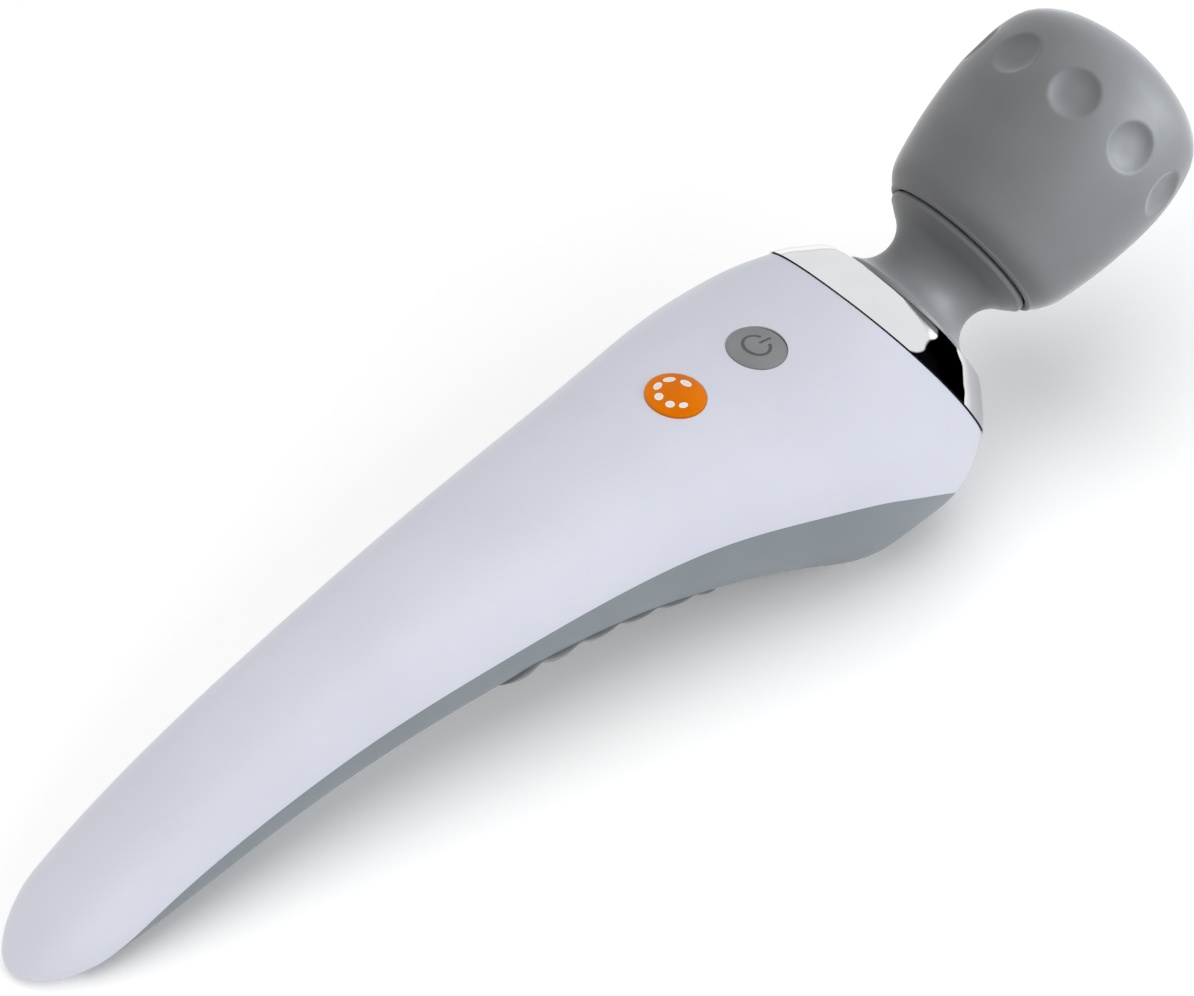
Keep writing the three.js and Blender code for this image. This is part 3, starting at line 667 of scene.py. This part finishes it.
finishes = {
    "white_shell": moulded(
        "white_abs", (0.565, 0.58, 0.655), (0.59, 0.605, 0.68), (0.3, 0.34),
        scatter=0.08, scatter_scale=0.002,
    ),
    "grey_shell": moulded("grey_abs", (0.178, 0.203, 0.224), (0.2, 0.226, 0.247), (0.4, 0.5), 1900, 1.4e-5),
    "grip_rubber": silicone("grip_rubber", (0.135, 0.148, 0.157), (0.155, 0.168, 0.177), (0.6, 0.7), 2600, 2e-5),
    "head_silicone": silicone(
        "head_silicone", (0.086, 0.089, 0.093), (0.1, 0.103, 0.107), scatter=0.06, scatter_scale=0.003,
    ),
    "chrome": chrome_finish("mirror_chrome"),
    "gasket_rubber": silicone("gasket_rubber", (0.012, 0.012, 0.013), (0.02, 0.02, 0.021)),
    "power_key_plastic": marked(
        "power_key_grey", (0.165, 0.172, 0.175), (0.2, 0.207, 0.21), [("glyph", (0.07, 0.075, 0.08))],
    ),
    "mode_key_plastic": marked(
        "mode_key_orange", (0.63, 0.14, 0.0), (0.7, 0.172, 0.001),
        [("dot", (0.82, 0.80, 0.78)), ("core", (0.70, 0.69, 0.69))], tint=(1.0, 0.4, 0.0), specular=0.2,
    ),
    "pod_plastic": moulded("pod_plastic", (0.06, 0.064, 0.07), (0.08, 0.084, 0.09), (0.45, 0.6), 1800, 2e-5),
    "nylon": moulded(
        "natural_nylon", (0.68, 0.66, 0.60), (0.74, 0.72, 0.66), (0.4, 0.5), scatter=0.2, scatter_scale=0.002,
    ),
    "steel": metal("machined_steel", (0.45, 0.45, 0.46), (0.62, 0.62, 0.63)),
    "brass": metal("turned_brass", (0.58, 0.40, 0.15), (0.72, 0.52, 0.24)),
    "copper": metal(
        "copper_winding", (0.46, 0.19, 0.08), (0.66, 0.30, 0.14), (0.25, 0.4), (1, 6, 6), 500, 6e-5,
    ),
    "nickel": metal("nickel_strip", (0.55, 0.55, 0.52), (0.68, 0.68, 0.65), (0.22, 0.34), (1, 8, 1)),
    "magnet": metal("ferrite_magnet", (0.05, 0.05, 0.055), (0.09, 0.09, 0.095), (0.55, 0.7)),
    "cell_wrap": moulded("cell_wrap", (0.03, 0.12, 0.36), (0.04, 0.15, 0.43), (0.25, 0.35), coat=0.4),
    "foam": silicone("closed_foam", (0.05, 0.05, 0.05), (0.08, 0.08, 0.08), (0.85, 0.95), 1500, 1.2e-4),
    "board": board_finish("circuit_board"),
    "black_plastic": moulded("black_plastic", (0.012, 0.012, 0.013), (0.02, 0.02, 0.022), (0.35, 0.5)),
    "wire_red": silicone("wire_red", (0.36, 0.02, 0.015), (0.46, 0.03, 0.02), (0.35, 0.45)),
    "wire_black": silicone("wire_black", (0.01, 0.01, 0.01), (0.02, 0.02, 0.02), (0.35, 0.45)),
}
for node, cad_object in frame["nodes"].items():
    cad_object.data.materials.clear()
    cad_object.data.materials.append(finishes[slots[node]])


def replace(node, piece):
    """Hides the CAD node that the piece stands in for, and gives the piece back."""
    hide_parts(node)
    return piece


def stand_in(node, points, faces, body="handle", **options):
    """A finer piece that rides on a body in place of the CAD node."""
    made = add_mesh(node + "_fine", points, faces, finishes[slots[node]], **options)
    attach(made, body)
    return replace(node, made)


# ---- Handle covers and grip pad ----
TAIL_ROWS, BODY_ROWS, SLICES = 44, 250, 280
PAD_ROWS, PAD_SLICES = 230, 260
tail_rows = TAIL_X + TAIL_ROUNDING * (1 - np.cos(np.linspace(0, math.pi / 2, TAIL_ROWS)))
body_rows = np.linspace(TAIL_X + TAIL_ROUNDING, 0, BODY_ROWS)
skin_rows = np.concatenate([tail_rows, body_rows[1:]])
skin_angles = np.linspace(-math.pi / 2, 1.5 * math.pi, SLICES, endpoint=False)
grid_places, grid_faces = skin_grid(skin_rows, skin_angles, True)
TAIL_WALL = 1.2  # at the tail tip


def wall_depth(x):
    """The wall thins towards the tail tip, where there is no room for it."""
    return TAIL_WALL + (WALL - TAIL_WALL) * smooth_step(x, TAIL_X, TAIL_X + 2 * TAIL_ROUNDING)


def make_cover(node, trims, recess=None, tubes=()):
    """One of the two covers: the skin, trimmed by each function of its points, with a wall."""
    places, faces = grid_places, grid_faces
    for trim in trims:
        places, faces, _ = divide(places, faces, trim(skin(*places.T)))
    floor_faces = None
    if recess:
        places, faces, floor_faces = divide(places, faces, recess(skin(*places.T)))
    points, normals = skin(*places.T), skin_normals(*places.T)
    inner = points - normals * wall_depth(places[:, 0])[:, None]
    floor = (floor_faces, points - normals * (PAD["inset"] + GAP)) if recess else None
    points, faces, normals = thicken(points, normals, inner, faces, COVER_LIP, floor, tubes)
    stand_in(node, in_wand(points), faces, normals=normals)


def screw_hole(screw):
    """The trim for the hole of a case screw."""
    radius = screw["radius"] + SCREW_CLEARANCE
    return lambda points: np.hypot(points[:, 0] - screw["x"], points[:, 1] - screw["y"]) - radius


jack_lean = math.radians(natural_spline(STATIONS[:, 0], STATIONS[:, 2:3], np.array([JACK_X]))[0, 0])
jack_point = skin(np.array([JACK_X]), np.array([-math.pi / 2]))[0]
jack_out = np.array([math.sin(jack_lean), 0, -math.cos(jack_lean)])
jack_along = np.array([math.cos(jack_lean), 0, math.sin(jack_lean)])


def jack_hole(points):
    """How far points are outside the round hole of the charging jack."""
    across = (points - jack_point) @ jack_along
    return np.hypot(across, points[:, 1]) - JACK_HOLE


def screw_tube(screw):
    """The deep hole and boss round a case screw, for thicken."""
    bore = screw["radius"] + SCREW_CLEARANCE - COVER_LIP
    boss = screw["radius"] + BOSS_WALL
    seat = screw["head"] + GAP
    return (screw["x"], screw["y"], [
        (bore, seat), (SHANK_HOLE, seat), (SHANK_HOLE, screw["split"]), (boss, screw["split"]), (boss, None),
    ])


make_cover("front_cover", [
    lambda points: parting_distance(points) - SEAM_GAP / 2,
    lambda points: oval_distance(points, BUTTON_X["power"], GAP),
    lambda points: oval_distance(points, BUTTON_X["mode"], GAP),
])
make_cover(
    "rear_cover",
    [lambda points: -SEAM_GAP / 2 - parting_distance(points), jack_hole]
    + [screw_hole(screw) for screw in CASE_SCREWS],
    lambda points: pad_distance(points, GAP),
    [screw_tube(screw) for screw in CASE_SCREWS],
)


def make_pad():
    """Ridged rubber pad: waves along its length that fade a little at its edges."""
    pitch = (PAD["end"] - PAD["start"]) / PAD["ridges"]
    margin = 3
    rows = np.linspace(PAD["start"] - margin, PAD["end"] + margin, PAD_ROWS)
    angles = np.radians(np.linspace(-172, -8, PAD_SLICES))
    places, faces = skin_grid(rows, angles, False)

    def crest(places):
        """The skin under the pad, and how far the pad stands out from it."""
        base = skin(*places.T)
        turn = (base[:, 0] - PAD["start"]) / pitch * 2 * math.pi
        wave = 0.5 - 0.5 * np.cos(turn + PAD["skew"] * np.sin(turn))
        fade = smooth_step(-pad_distance(base, 0), 0, PAD["fade"])
        share = PAD["edge_share"] + (1 - PAD["edge_share"]) * fade
        return base, PAD["proud"] + PAD["ridge"] * wave * share

    places, faces, _ = divide(places, faces, -pad_distance(skin(*places.T), 0))
    base, height = crest(places)
    normals = skin_normals(*places.T)
    points = base + normals * height[:, None]
    inner = base - normals * PAD["inset"]
    points, faces, _ = thicken(points, normals, inner, faces, PAD["lip"])
    stand_in("grip_pad", in_wand(points), faces, sharp=60)


make_pad()

# ---- Collar and gasket: rings (along, half width, half depth, fullness) from outside to inside ----
SEAM_WIDE, SEAM_DEEP = STATIONS[-1, 3], STATIONS[-1, 4]
flank = smooth_line([
    [0.5, SEAM_WIDE + 0.2, SEAM_DEEP + 0.28], [3.2, 31.4, 23.53], [6.0, 28.2, 22.3], [8.2, 25.6, 21.15],
    [9.1, 24.4, 20.6],
], 0.3)
collar_rings = [
    [0.5, 33.0, 23.2, FULLNESS], *([*ring, FULLNESS] for ring in flank),
    [9.36, 24.0, 20.42, 0.885], [9.54, 23.5, 20.2, 0.89], [9.64, 22.9, 19.95, 0.9], [9.7, 22.2, 19.7, 0.91],
    [9.72, 20.4, 19.0, 0.96], [9.7, 18.75, 18.75, 1], [9.62, 18.45, 18.45, 1], [9.4, 18.25, 18.25, 1],
    [9.1, 18.2, 18.2, 1], [8.0, 18.2, 18.2, 1], [5.0, 26.0, 19.6, FULLNESS], [-3.5, 29.4, 19.7, FULLNESS],
    [-3.5, 30.8, 21.0, FULLNESS], [0.5, 30.8, 21.0, FULLNESS],
]
points, faces = ring_body(collar_rings, 320)
stand_in("chrome_collar", in_head(points), faces, tidy=True, sharp=50)
points, faces = ring_body([
    [0.08, 31.2, 21.4, FULLNESS], [0.44, 31.2, 21.4, FULLNESS], [0.44, 33.2, 23.3, FULLNESS],
    [0.26, 33.32, 23.42, FULLNESS], [0.08, 33.2, 23.3, FULLNESS],
], 240)
stand_in("collar_gasket", in_head(points), faces, tidy=True, sharp=50)

# ---- Neck boot, spring and motor leads, each in two halves that meet at the waist ----
NECK_COLUMNS = 200
WAIST, HOLLOW, BOOT_WALL = 12.3, 8.0, 2.2  # radius at the waist, radius of the hollow, and thickness


def hollow(angles, radius):
    """Part of the round hollow of the neck, angle 0 at the waist."""
    turn = np.radians(angles)
    return np.column_stack([WAIST_AT + radius * np.sin(turn), WAIST + HOLLOW - radius * np.cos(turn)])


low_outer = np.concatenate([
    [[3.2, 15.4], [3.2, 17.2], [3.35, 17.5], [3.7, 17.6]],
    smooth_line([[4.5, 17.6], [7.5, 17.55], [10, 17.42]], 0.5),
    smooth_line(np.concatenate([[[10.4, 17.38]], hollow(np.linspace(-64, 0, 40), HOLLOW)]), 0.22)[1:],
])
low_inner = np.concatenate([hollow(np.linspace(0, -46, 14), HOLLOW + BOOT_WALL), [[9.6, 15.4]]])
flare = np.concatenate([hollow(np.linspace(0, 58, 40), HOLLOW), [[26.4, 17.5], [27.15, 18.5]]])
high_outer = np.concatenate([
    smooth_line(flare, 0.22),
    arc([28.5, 18.45], 1.15, 155, 5, 12), [[29.6, 17.9], [29.2, 16.2], [27.6, 16.2]],
])
high_inner = hollow(np.linspace(46, 0, 14), HOLLOW + BOOT_WALL)


def half_in_neck(node, part, points, faces, **options):
    """The low or high half of a node that runs through the neck, in place of the CAD node."""
    made = add_mesh(f"{node}_{part}", in_head(points), faces, finishes[slots[node]], tidy=True, **options)
    if part == "low":
        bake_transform(made)
    else:
        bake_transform(made)
    return replace(node, made)


neck_boots = [
    half_in_neck("neck_boot", part, *ring_body(np.concatenate(profile), NECK_COLUMNS), sharp=50)
    for part, profile in (("low", [low_outer, low_inner]), ("high", [high_outer, high_inner]))
]
END_SHARE = 0.75  # size of a rod's end against the rest of it


def sweep(path, radius, sides):
    """Round rod along a path of points (along, side, up), a little thinner at its ends."""
    tangent = np.gradient(path, axis=0)
    tangent /= np.linalg.norm(tangent, axis=1)[:, None]
    across = np.cross(tangent, [0.0, 0.0, 1.0])
    across[np.linalg.norm(across, axis=1) < 0.2] = [0, 1, 0]
    across /= np.linalg.norm(across, axis=1)[:, None]
    up = np.cross(across, tangent)
    angles = np.linspace(0, 2 * math.pi, sides, endpoint=False)
    sizes = np.full(len(path), radius)
    sizes[[0, -1]] = radius * END_SHARE
    ring = across[:, None] * np.cos(angles)[None, :, None] + up[:, None] * np.sin(angles)[None, :, None]
    points = (path[:, None] + ring * sizes[:, None, None]).reshape(-1, 3)
    return points, ring_faces(len(path), sides) + end_faces(len(path), sides)


def rod_through_neck(node, path, radius, sides):
    """A rod cut in two at the waist."""
    half_in_neck(node, "low", *sweep(path[path[:, 0] <= WAIST_AT], radius, sides))
    half_in_neck(node, "high", *sweep(path[path[:, 0] >= WAIST_AT], radius, sides))


SPRING = dict(start=10.7, end=25.0, radius=7.7, turns=5, wire=1.0)
turns = np.linspace(0, SPRING["turns"] * 2 * math.pi, 361)
coil = SPRING["radius"] * np.column_stack([np.cos(turns), np.sin(turns)])
rise = np.linspace(SPRING["start"], SPRING["end"], len(turns))
rod_through_neck("neck_spring", np.column_stack([rise, coil]), SPRING["wire"], 14)
LEAD_RADIUS = 0.7
for pole, side in (("positive", 1), ("negative", -1)):
    lead = smooth_line([
        [-20, 4 * side, -3], [-8, 3 * side, 0], [4, 3 * side, 0], [20, 3 * side, 0], [32, 3 * side, 0],
        [39.4, 6 * side, 0],
    ], 0.8)
    rod_through_neck(f"motor_lead_{pole}", lead, LEAD_RADIUS, 12)

# ---- Head cover: turned silicone with a ring of shallow dishes ----
DISH = dict(count=10, from_rim=37.5, radius=5.8, depth=1.6, turn=8.5, softness=0.16)
TIP, BORE_TIP = 59.5, 56.7  # from the rim
head_outer = smooth_line([
    [0.9, 21.4], [3.4, 23.5], [8.9, 25.4], [16, 26.9], [24, 28.05], [32, 28.7], [39, 28.5], [45, 27.5],
    [50, 25.7], [54, 21.9], [56.8, 15.9], [58.8, 9.2], [TIP, 0], [58.8, -9.2], [56.8, -15.9],
], 0.42)
head_outer = head_outer[head_outer[:, 1] > 0.1]
rim = arc([0.95, 20.35], 0.95, 100, 240, 9)[::-1]
bore = smooth_line([
    [0.9, 19.1], [2.2, 19.7], [6, 21.8], [14, 23.6], [24, 25.1], [36, 25.7], [46, 23.8], [51.2, 20.0],
    [54.6, 13.2], [56.2, 5.2],
], 1.6)
DISH_WALL = 28.6  # radius of the head at the ring of dishes


def make_head():
    """The hollow head: a turned wall, with the outside pressed in at each dish."""
    profile = np.concatenate([bore[::-1], rim, head_outer])
    columns = 520
    points, faces = ring_body(profile, columns, closed=False)
    points[:, 0] += HEAD_RIM
    outer = np.repeat(np.arange(len(profile)) >= len(bore), columns)
    radius = np.hypot(points[:, 1], points[:, 2])
    angle = np.arctan2(points[:, 1], points[:, 2])
    pitch = 2 * math.pi / DISH["count"]
    offset = (angle - math.radians(DISH["turn"]) + pitch / 2) % pitch - pitch / 2
    along = points[:, 0] - HEAD_RIM - DISH["from_rim"]
    share = np.hypot(along, DISH_WALL * np.sin(offset)) / DISH["radius"]
    bowl = DISH["depth"] * (1 - share**3)
    sink = (bowl + np.sqrt(bowl**2 + DISH["softness"] ** 2)) / 2
    shrink = np.where(outer & (radius > 1), 1 - sink / np.maximum(radius, 1), 1)
    points[:, 1:] *= shrink[:, None]
    tips = [len(points), len(points) + 1]
    points = np.vstack([points, [[HEAD_RIM + BORE_TIP, 0, 0], [HEAD_RIM + TIP, 0, 0]]])
    last = (len(profile) - 1) * columns
    for column in range(columns):
        beside = (column + 1) % columns
        faces.append((tips[0], beside, column))
        faces.append((tips[1], last + column, last + beside))
    return stand_in("head_cover", in_head(points), faces, "head", tidy=True)


head_cover = make_head()


# ---- Push buttons ----
TINY = 0.004  # share at which a round face closes
FLANGE_SHARE, STEM_SHARE = 1.2, 0.3  # against the key's own oval
SKIRT = 2.0  # height of the straight side


def make_key(name, drop, marks, shape):
    """Oval key: crowned top with a rounded edge, straight side, flange and stem.

    drop lowers its top, marks is a dict of fields kept as values on the top, and shape raises the top there.
    """
    x, top = BUTTON_X[name], BUTTON["top"] - drop
    long, wide = BUTTON["half_length"], BUTTON["half_width"]
    edge, edge_depth, crown, lift = 0.8, 0.56, 0.75, 0.35
    shares = np.linspace(TINY, 1, 120)
    rings = [(share, lift - crown * share**2) for share in shares * (1 - edge / long)]
    rim = rings[-1][1]
    for turn in np.radians(np.linspace(20, 90, 9)):
        rings.append((1 - edge / long * (1 - math.sin(turn)), rim - edge_depth * (1 - math.cos(turn))))
    flange, under, stem = BUTTON["flange"] - top, BUTTON["under"] - top, BUTTON["stem"] - top
    rings += [(1, -SKIRT), (1, flange), (FLANGE_SHARE, flange), (FLANGE_SHARE, under)]
    rings += [(STEM_SHARE, under), (STEM_SHARE, stem), (TINY, stem)]
    columns = 300
    angles = np.linspace(0, 2 * math.pi, columns, endpoint=False)
    share, level = (np.array(column)[:, None] for column in zip(*rings))
    along = share * long * np.cos(angles)
    across = share * wide * np.sin(angles)
    on_top = np.broadcast_to(np.arange(len(rings))[:, None] < len(shares), along.shape)
    values = {key: np.where(on_top, field(along, across), 0) for key, field in marks.items()}
    height = top + level + np.where(on_top, shape(along, across), 0)
    points = np.stack([x + along, across, height], axis=2).reshape(-1, 3)
    faces = ring_faces(len(rings), columns) + end_faces(len(rings), columns)
    marks = {key: value.ravel() for key, value in values.items()}
    body = f"{name}_key"
    stand_in(f"{name}_button", in_wand(points), faces, body, tidy=True, sharp=60, marks=marks)


GLYPH = dict(long=2.65, wide=3.6, stroke=0.33, gap=30, bar_from=1.15, bar_to=3.75)


def glyph_depth(along, across):
    """1 inside the power mark, a broken ring with a bar in its gap, and 0 outside."""
    long, wide = GLYPH["long"], GLYPH["wide"]
    gap = math.radians(GLYPH["gap"])
    share = np.maximum(np.hypot(along / long, across / wide), 0.01)
    steep = np.hypot(along / long**2, across / wide**2) / share
    turn = np.abs(np.arctan2(across / wide, along / long))
    to_end = np.hypot(along - long * math.cos(gap), np.abs(across) - wide * math.sin(gap))
    ring = np.where(turn > gap, np.abs(share - 1) / steep, to_end)
    bar = np.hypot(across, along - np.clip(along, GLYPH["bar_from"], GLYPH["bar_to"]))
    return 1 - smooth_step(np.minimum(ring, bar), GLYPH["stroke"] * 0.75, GLYPH["stroke"] * 1.35)


# Six dots lie on an oval, largest first: angle in degrees from the left of the wand, half length along the
# oval and half width across it.
DOT_OVAL = dict(long=3.6, wide=4.75)
DOTS = [
    (80, 1.5, 0.88), (26, 1.4, 0.88), (-26, 1.25, 0.92), (-74, 1.15, 0.95), (-119, 1.08, 0.9),
    (-161, 1.0, 0.78),
]
DOT_EDGE = 0.06  # half the width over which a dot fades
CORE_SHRINK = 0.3  # the middle of a dot is this much smaller all round


def dot_depth(shrink):
    """1 inside the six dots, made smaller all round by shrink, and 0 outside."""
    def depth(along, across):
        nearest = np.full(along.shape, np.inf)
        for degrees, half_long, half_wide in DOTS:
            turn = math.radians(degrees)
            from_along = along - DOT_OVAL["long"] * math.sin(turn)
            from_across = across - DOT_OVAL["wide"] * math.cos(turn)
            tangent = np.array([DOT_OVAL["long"] * math.cos(turn), -DOT_OVAL["wide"] * math.sin(turn)])
            tangent /= np.hypot(*tangent)
            lengthwise = from_along * tangent[0] + from_across * tangent[1]
            crosswise = from_along * tangent[1] - from_across * tangent[0]
            share = np.hypot(lengthwise / (half_long - shrink), crosswise / (half_wide - shrink))
            nearest = np.minimum(nearest, (share - 1) * half_wide)
        return 1 - smooth_step(nearest, -DOT_EDGE, DOT_EDGE)

    return depth


GLYPH_CUT, DOT_RISE, CORE_SINK = 0.22, 0.05, 0.04
MODE_KEY_DROP = 0.45
whole_dot, dot_core = dot_depth(0), dot_depth(CORE_SHRINK)
make_key(
    "power", 0, {"glyph": glyph_depth}, lambda along, across: -GLYPH_CUT * glyph_depth(along, across),
)
make_key(
    "mode", MODE_KEY_DROP, {"dot": whole_dot, "core": dot_core},
    lambda along, across: DOT_RISE * whole_dot(along, across) - CORE_SINK * dot_core(along, across),
)


# ---- Case screws and charging jack ----
SHANK = 1.2  # radius
SCREW_COLUMNS = 96
RECESS = dict(half_width=0.3, reach=0.55, depth=0.55, softness=0.08)  # reach and depth are shares of the head


def make_screw(name, screw):
    """Pan-head screw with a cross recess, head down."""
    radius = screw["radius"]
    tall, length = radius * 0.7, radius * 3.6
    start, dome, face, edge = 0.02, 0.25, 0.86 * radius, 0.3
    rings = [[start, start]] + [[start + dome * share**2, share * face] for share in np.linspace(0.04, 1, 26)]
    rings += [[0.5, radius * 0.95], [0.9, radius], [tall, radius], [tall, SHANK], [length, SHANK]]
    rings += [[length + SHANK, 0.2]]
    points, faces = ring_body(rings, SCREW_COLUMNS, closed=False)
    cross = np.minimum(np.abs(points[:, 1]), np.abs(points[:, 2])) - RECESS["half_width"]
    reach = np.hypot(points[:, 1], points[:, 2]) - radius * RECESS["reach"]
    inside = 1 - smooth_step(np.maximum(cross, reach), -RECESS["softness"], RECESS["softness"])
    points[:, 0] += np.where(points[:, 0] < edge, inside * tall * RECESS["depth"], 0)
    faces += end_faces(len(rings), SCREW_COLUMNS)
    place = [screw["x"], screw["y"], screw["head"] - tall]
    stand_in(name, in_wand(place + points[:, ::-1]), faces, tidy=True, sharp=45)


for i, screw in enumerate(CASE_SCREWS, 1):
    make_screw(f"case_screw_{i}", screw)


def at_jack(points):
    """Turned points set in the jack hole, along growing inwards."""
    along, side, up = points[:, :1], points[:, 1:2], points[:, 2:]
    return in_wand(jack_point - along * jack_out + side * side_axis + up * jack_along)


points, faces = ring_body([
    [0.4, 3.0], [0.4, 3.7], [0.48, 3.86], [0.7, 3.9], [9.4, 3.9], [9.4, 0.05], [8.2, 0.05], [8.2, 2.8],
    [0.6, 2.8], [0.45, 2.88],
], 96)
stand_in("charge_jack", at_jack(points), faces, tidy=True, sharp=45)
points, faces = ring_body([[2.0, 0.05], [2.0, 0.5], [2.1, 0.7], [2.35, 0.8], [7.9, 0.8], [7.9, 0.05]], 40)
stand_in("charge_pin", at_jack(points), faces, tidy=True, sharp=45)

# ---- Studio ----
FLOOR_REACH = 9000  # from the middle to an edge


def make_floor():
    """Plain pale floor."""
    finish = Finish("floor_paper")
    cloud = finish.spread(finish.noise(4, 3), 0.3, 0.7)
    color = finish.mix(cloud, (0.945, 0.945, 0.95), (0.96, 0.96, 0.96))
    relief = finish.bump(finish.noise(900, 3), 2e-5)
    paper = finish.set(color=color, rough=0.7, normal=relief, glow=(1.0, 1.0, 1.0), glow_strength=0.09)
    corners = FLOOR_REACH * np.array([(-1, -1, 0), (1, -1, 0), (1, 1, 0), (-1, 1, 0)])
    return add_mesh("studio_floor", corners, [(0, 1, 2, 3)], paper)


make_floor()


def soft_light(name, aim, offset, size, power, color):
    """A rectangular lamp at an offset from the point that it faces. Mirrors don't show it."""
    light = bpy.data.lights.new(name, "AREA")
    light.shape = "RECTANGLE"
    light.size, light.size_y = size
    light.energy = power
    light.color = color
    lamp = bpy.data.objects.new(name, light)
    lamp.location = aim + Vector(offset)
    lamp.rotation_euler = (aim - lamp.location).to_track_quat("-Z", "Y").to_euler()
    lamp.visible_glossy = False
    bpy.context.scene.collection.objects.link(lamp)
    return lamp


centre = (cad_low + cad_high) / 2
soft_light("key", centre, (0.9, -1.9, 0.85), (1.8, 1.6), 25, (0.96, 0.98, 1.0))
soft_light("fill", centre, (-1.5, -0.2, 0.9), (1.2, 1.2), 9, (1.0, 0.95, 0.88))
soft_light("top", centre, (0.1, 0.0, 2.0), (2.4, 2.4), 27, (1.0, 1.0, 1.0))
HEAD_MIDDLE = 60  # from the seam
head_centre = Vector((seam + HEAD_MIDDLE * head_axis) * MM)
side_lamp = soft_light("head_side", head_centre, (1.1, -1.25, 0.5), (1.3, 0.9), 58, (0.9, 0.95, 1.0))
side_lamp.visible_glossy = True
back_lamp = soft_light("head_back", head_centre, (1.1, 0.9, 0.95), (0.8, 0.6), 22, (1.0, 0.98, 0.95))
# These two lamps light nothing but the head and the neck
only_head = bpy.data.collections.new("head_and_neck")
for piece in (head_cover, *neck_boots):
    only_head.objects.link(piece)
for lamp in (side_lamp, back_lamp):
    lamp.light_linking.receiver_collection = only_head

SKY_LIGHT, SKY_SEEN = 0.33, 0.85  # strength as a light, and as seen by the camera and in mirrors
world = bpy.data.worlds.new("studio")
bpy.context.scene.world = world
world.use_nodes = True
sky = world.node_tree.nodes["Background"]
sky.inputs["Color"].default_value = (0.97, 0.98, 1.0, 1)
nodes, links = world.node_tree.nodes, world.node_tree.links
path, strength, seen = (nodes.new("ShaderNode" + kind) for kind in ("LightPath", "MapRange", "Math"))
strength.inputs["To Min"].default_value = SKY_LIGHT
strength.inputs["To Max"].default_value = SKY_SEEN
seen.operation = "MAXIMUM"
links.new(path.outputs["Is Glossy Ray"], seen.inputs[0])
links.new(path.outputs["Is Camera Ray"], seen.inputs[1])
links.new(seen.outputs["Value"], strength.inputs["Value"])
links.new(strength.outputs["Result"], sky.inputs["Strength"])

# ---- Camera, at the photograph's angle ----
LENS, SENSOR = 81.4, 36.0
CAMERA_FROM_SEAM = np.array([-296.0, -367.3, 403.3])
look = Vector((0.3715, 0.6259, -0.6858)).normalized()
top = Vector((0.4599, 0.5177, 0.7215))
right = look.cross(top).normalized()
top = right.cross(look)
camera_data = bpy.data.cameras.new("photo_view")
camera_data.lens, camera_data.sensor_width, camera_data.sensor_fit = LENS, SENSOR, "HORIZONTAL"
camera_data.clip_start, camera_data.clip_end = 0.01, 50
camera = bpy.data.objects.new("photo_view", camera_data)
turn = Matrix((right, top, -look)).transposed().to_4x4()
camera.matrix_world = Matrix.Translation(Vector((seam + CAMERA_FROM_SEAM) * MM)) @ turn
bpy.context.scene.collection.objects.link(camera)
bpy.context.scene.camera = camera
bpy.context.scene.view_settings.view_transform = "Standard"
